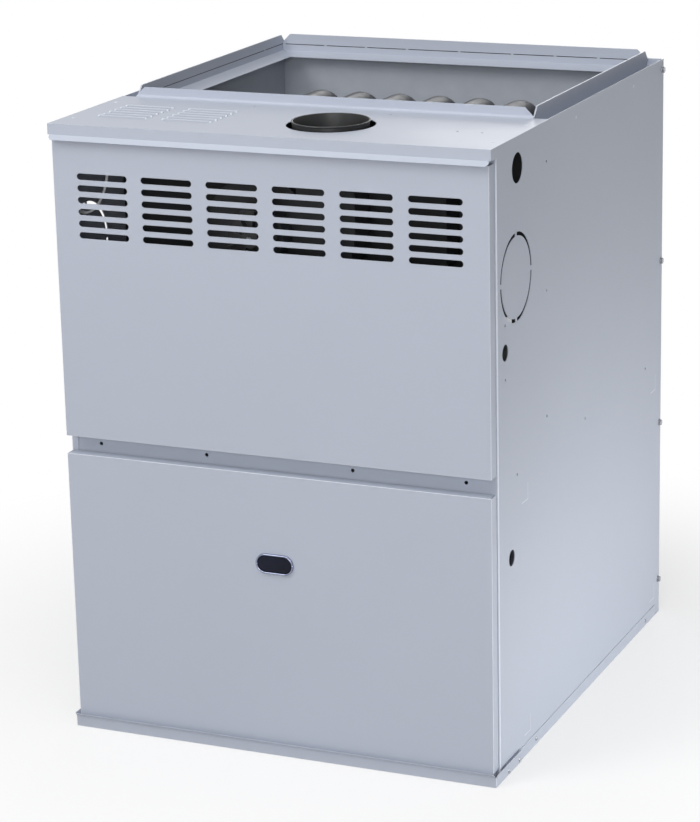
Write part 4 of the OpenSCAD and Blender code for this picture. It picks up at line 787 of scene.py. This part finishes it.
def seen_ray(tree):
    """1 for what the camera sees, also in gloss and through glass, and 0 for light that is scattered."""
    rays = new_node(tree, "LightPath", {}).outputs
    seen = rays["Is Camera Ray"]
    for kind in ("Is Glossy Ray", "Is Transmission Ray"):
        seen = new_node(tree, "Math", {0: seen, 1: rays[kind]}, operation="MAXIMUM").outputs[0]
    return seen


def make_floor():
    """A pale floor that turns into the plain white backdrop further out."""
    mesh = bpy.data.meshes.new("floor")
    corners = ((-1, -1), (1, -1), (1, 1), (-1, 1))
    mesh.from_pydata([(x * FLOOR_HALF, y * FLOOR_HALF, -FLOOR_DEPTH) for x, y in corners], [], [(0, 1, 2, 3)])
    obj = bpy.data.objects.new("floor", mesh)
    scene.collection.objects.link(obj)
    mat, tree, bsdf = new_material("floor_paper")
    seen = seen_ray(tree)
    tone = new_node(tree, "Mix", {"Factor": seen, "A": grey(FLOOR_BOUNCE), "B": grey(FLOOR_SEEN)},
                    data_type="RGBA")
    set_inputs(bsdf, {"Base Color": tone.outputs["Result"], "Roughness": 0.9, "Specular IOR Level": 0.1})
    length = new_node(tree, "VectorMath", {0: object_point(tree)}, operation="LENGTH")
    far = new_node(tree, "MapRange", {"Value": length.outputs["Value"], "From Min": WHITE_FROM,
                                      "From Max": WHITE_TO, "To Min": NEAR_SHARE},
                   interpolation_type="SMOOTHSTEP")
    share = new_node(tree, "Math", {0: far.outputs["Result"], 1: seen}, operation="MULTIPLY")
    white = new_node(tree, "Emission", {"Strength": 1.0})
    mix = new_node(tree, "MixShader", {"Fac": share.outputs[0], 1: bsdf.outputs["BSDF"],
                                       2: white.outputs["Emission"]})
    set_inputs(tree.get_output_node("ALL"), {"Surface": mix.outputs["Shader"]})
    mesh.materials.append(mat)


def make_light():
    world = bpy.data.worlds.new("world")
    scene.world = world
    world.use_nodes = True
    tree = world.node_tree
    tree.nodes.clear()
    soft = new_node(tree, "Background", {"Color": WORLD_COLOR, "Strength": WORLD_STRENGTH})
    white = new_node(tree, "Background", {"Color": (1.0, 1.0, 1.0, 1.0), "Strength": 1.0})
    mix = new_node(tree, "MixShader", {"Fac": seen_ray(tree), 1: soft.outputs[0], 2: white.outputs[0]})
    new_node(tree, "OutputWorld", {"Surface": mix.outputs[0]})
    for name, color, power, size, place, aim in LAMPS:
        data = bpy.data.lights.new(name, "AREA")
        data.shape = "RECTANGLE"
        data.size, data.size_y = size
        data.energy = power
        data.color = color
        lamp = bpy.data.objects.new(name, data)
        lamp.visible_camera = False
        way = (Vector(aim) - Vector(place)).normalized()
        lamp.matrix_world = Matrix.Translation(place) @ way.to_track_quat("-Z", "Y").to_matrix().to_4x4()
        scene.collection.objects.link(lamp)


make_camera()
make_floor()
make_light()
dress_nodes()
make_sheet_pieces()
make_inner_pieces()
make_sight_glass()
make_flue_collar()
make_hose()
make_tubes()
make_small_marks()
make_pan_details()
make_fold_strips()

scene.view_settings.view_transform = "Standard"
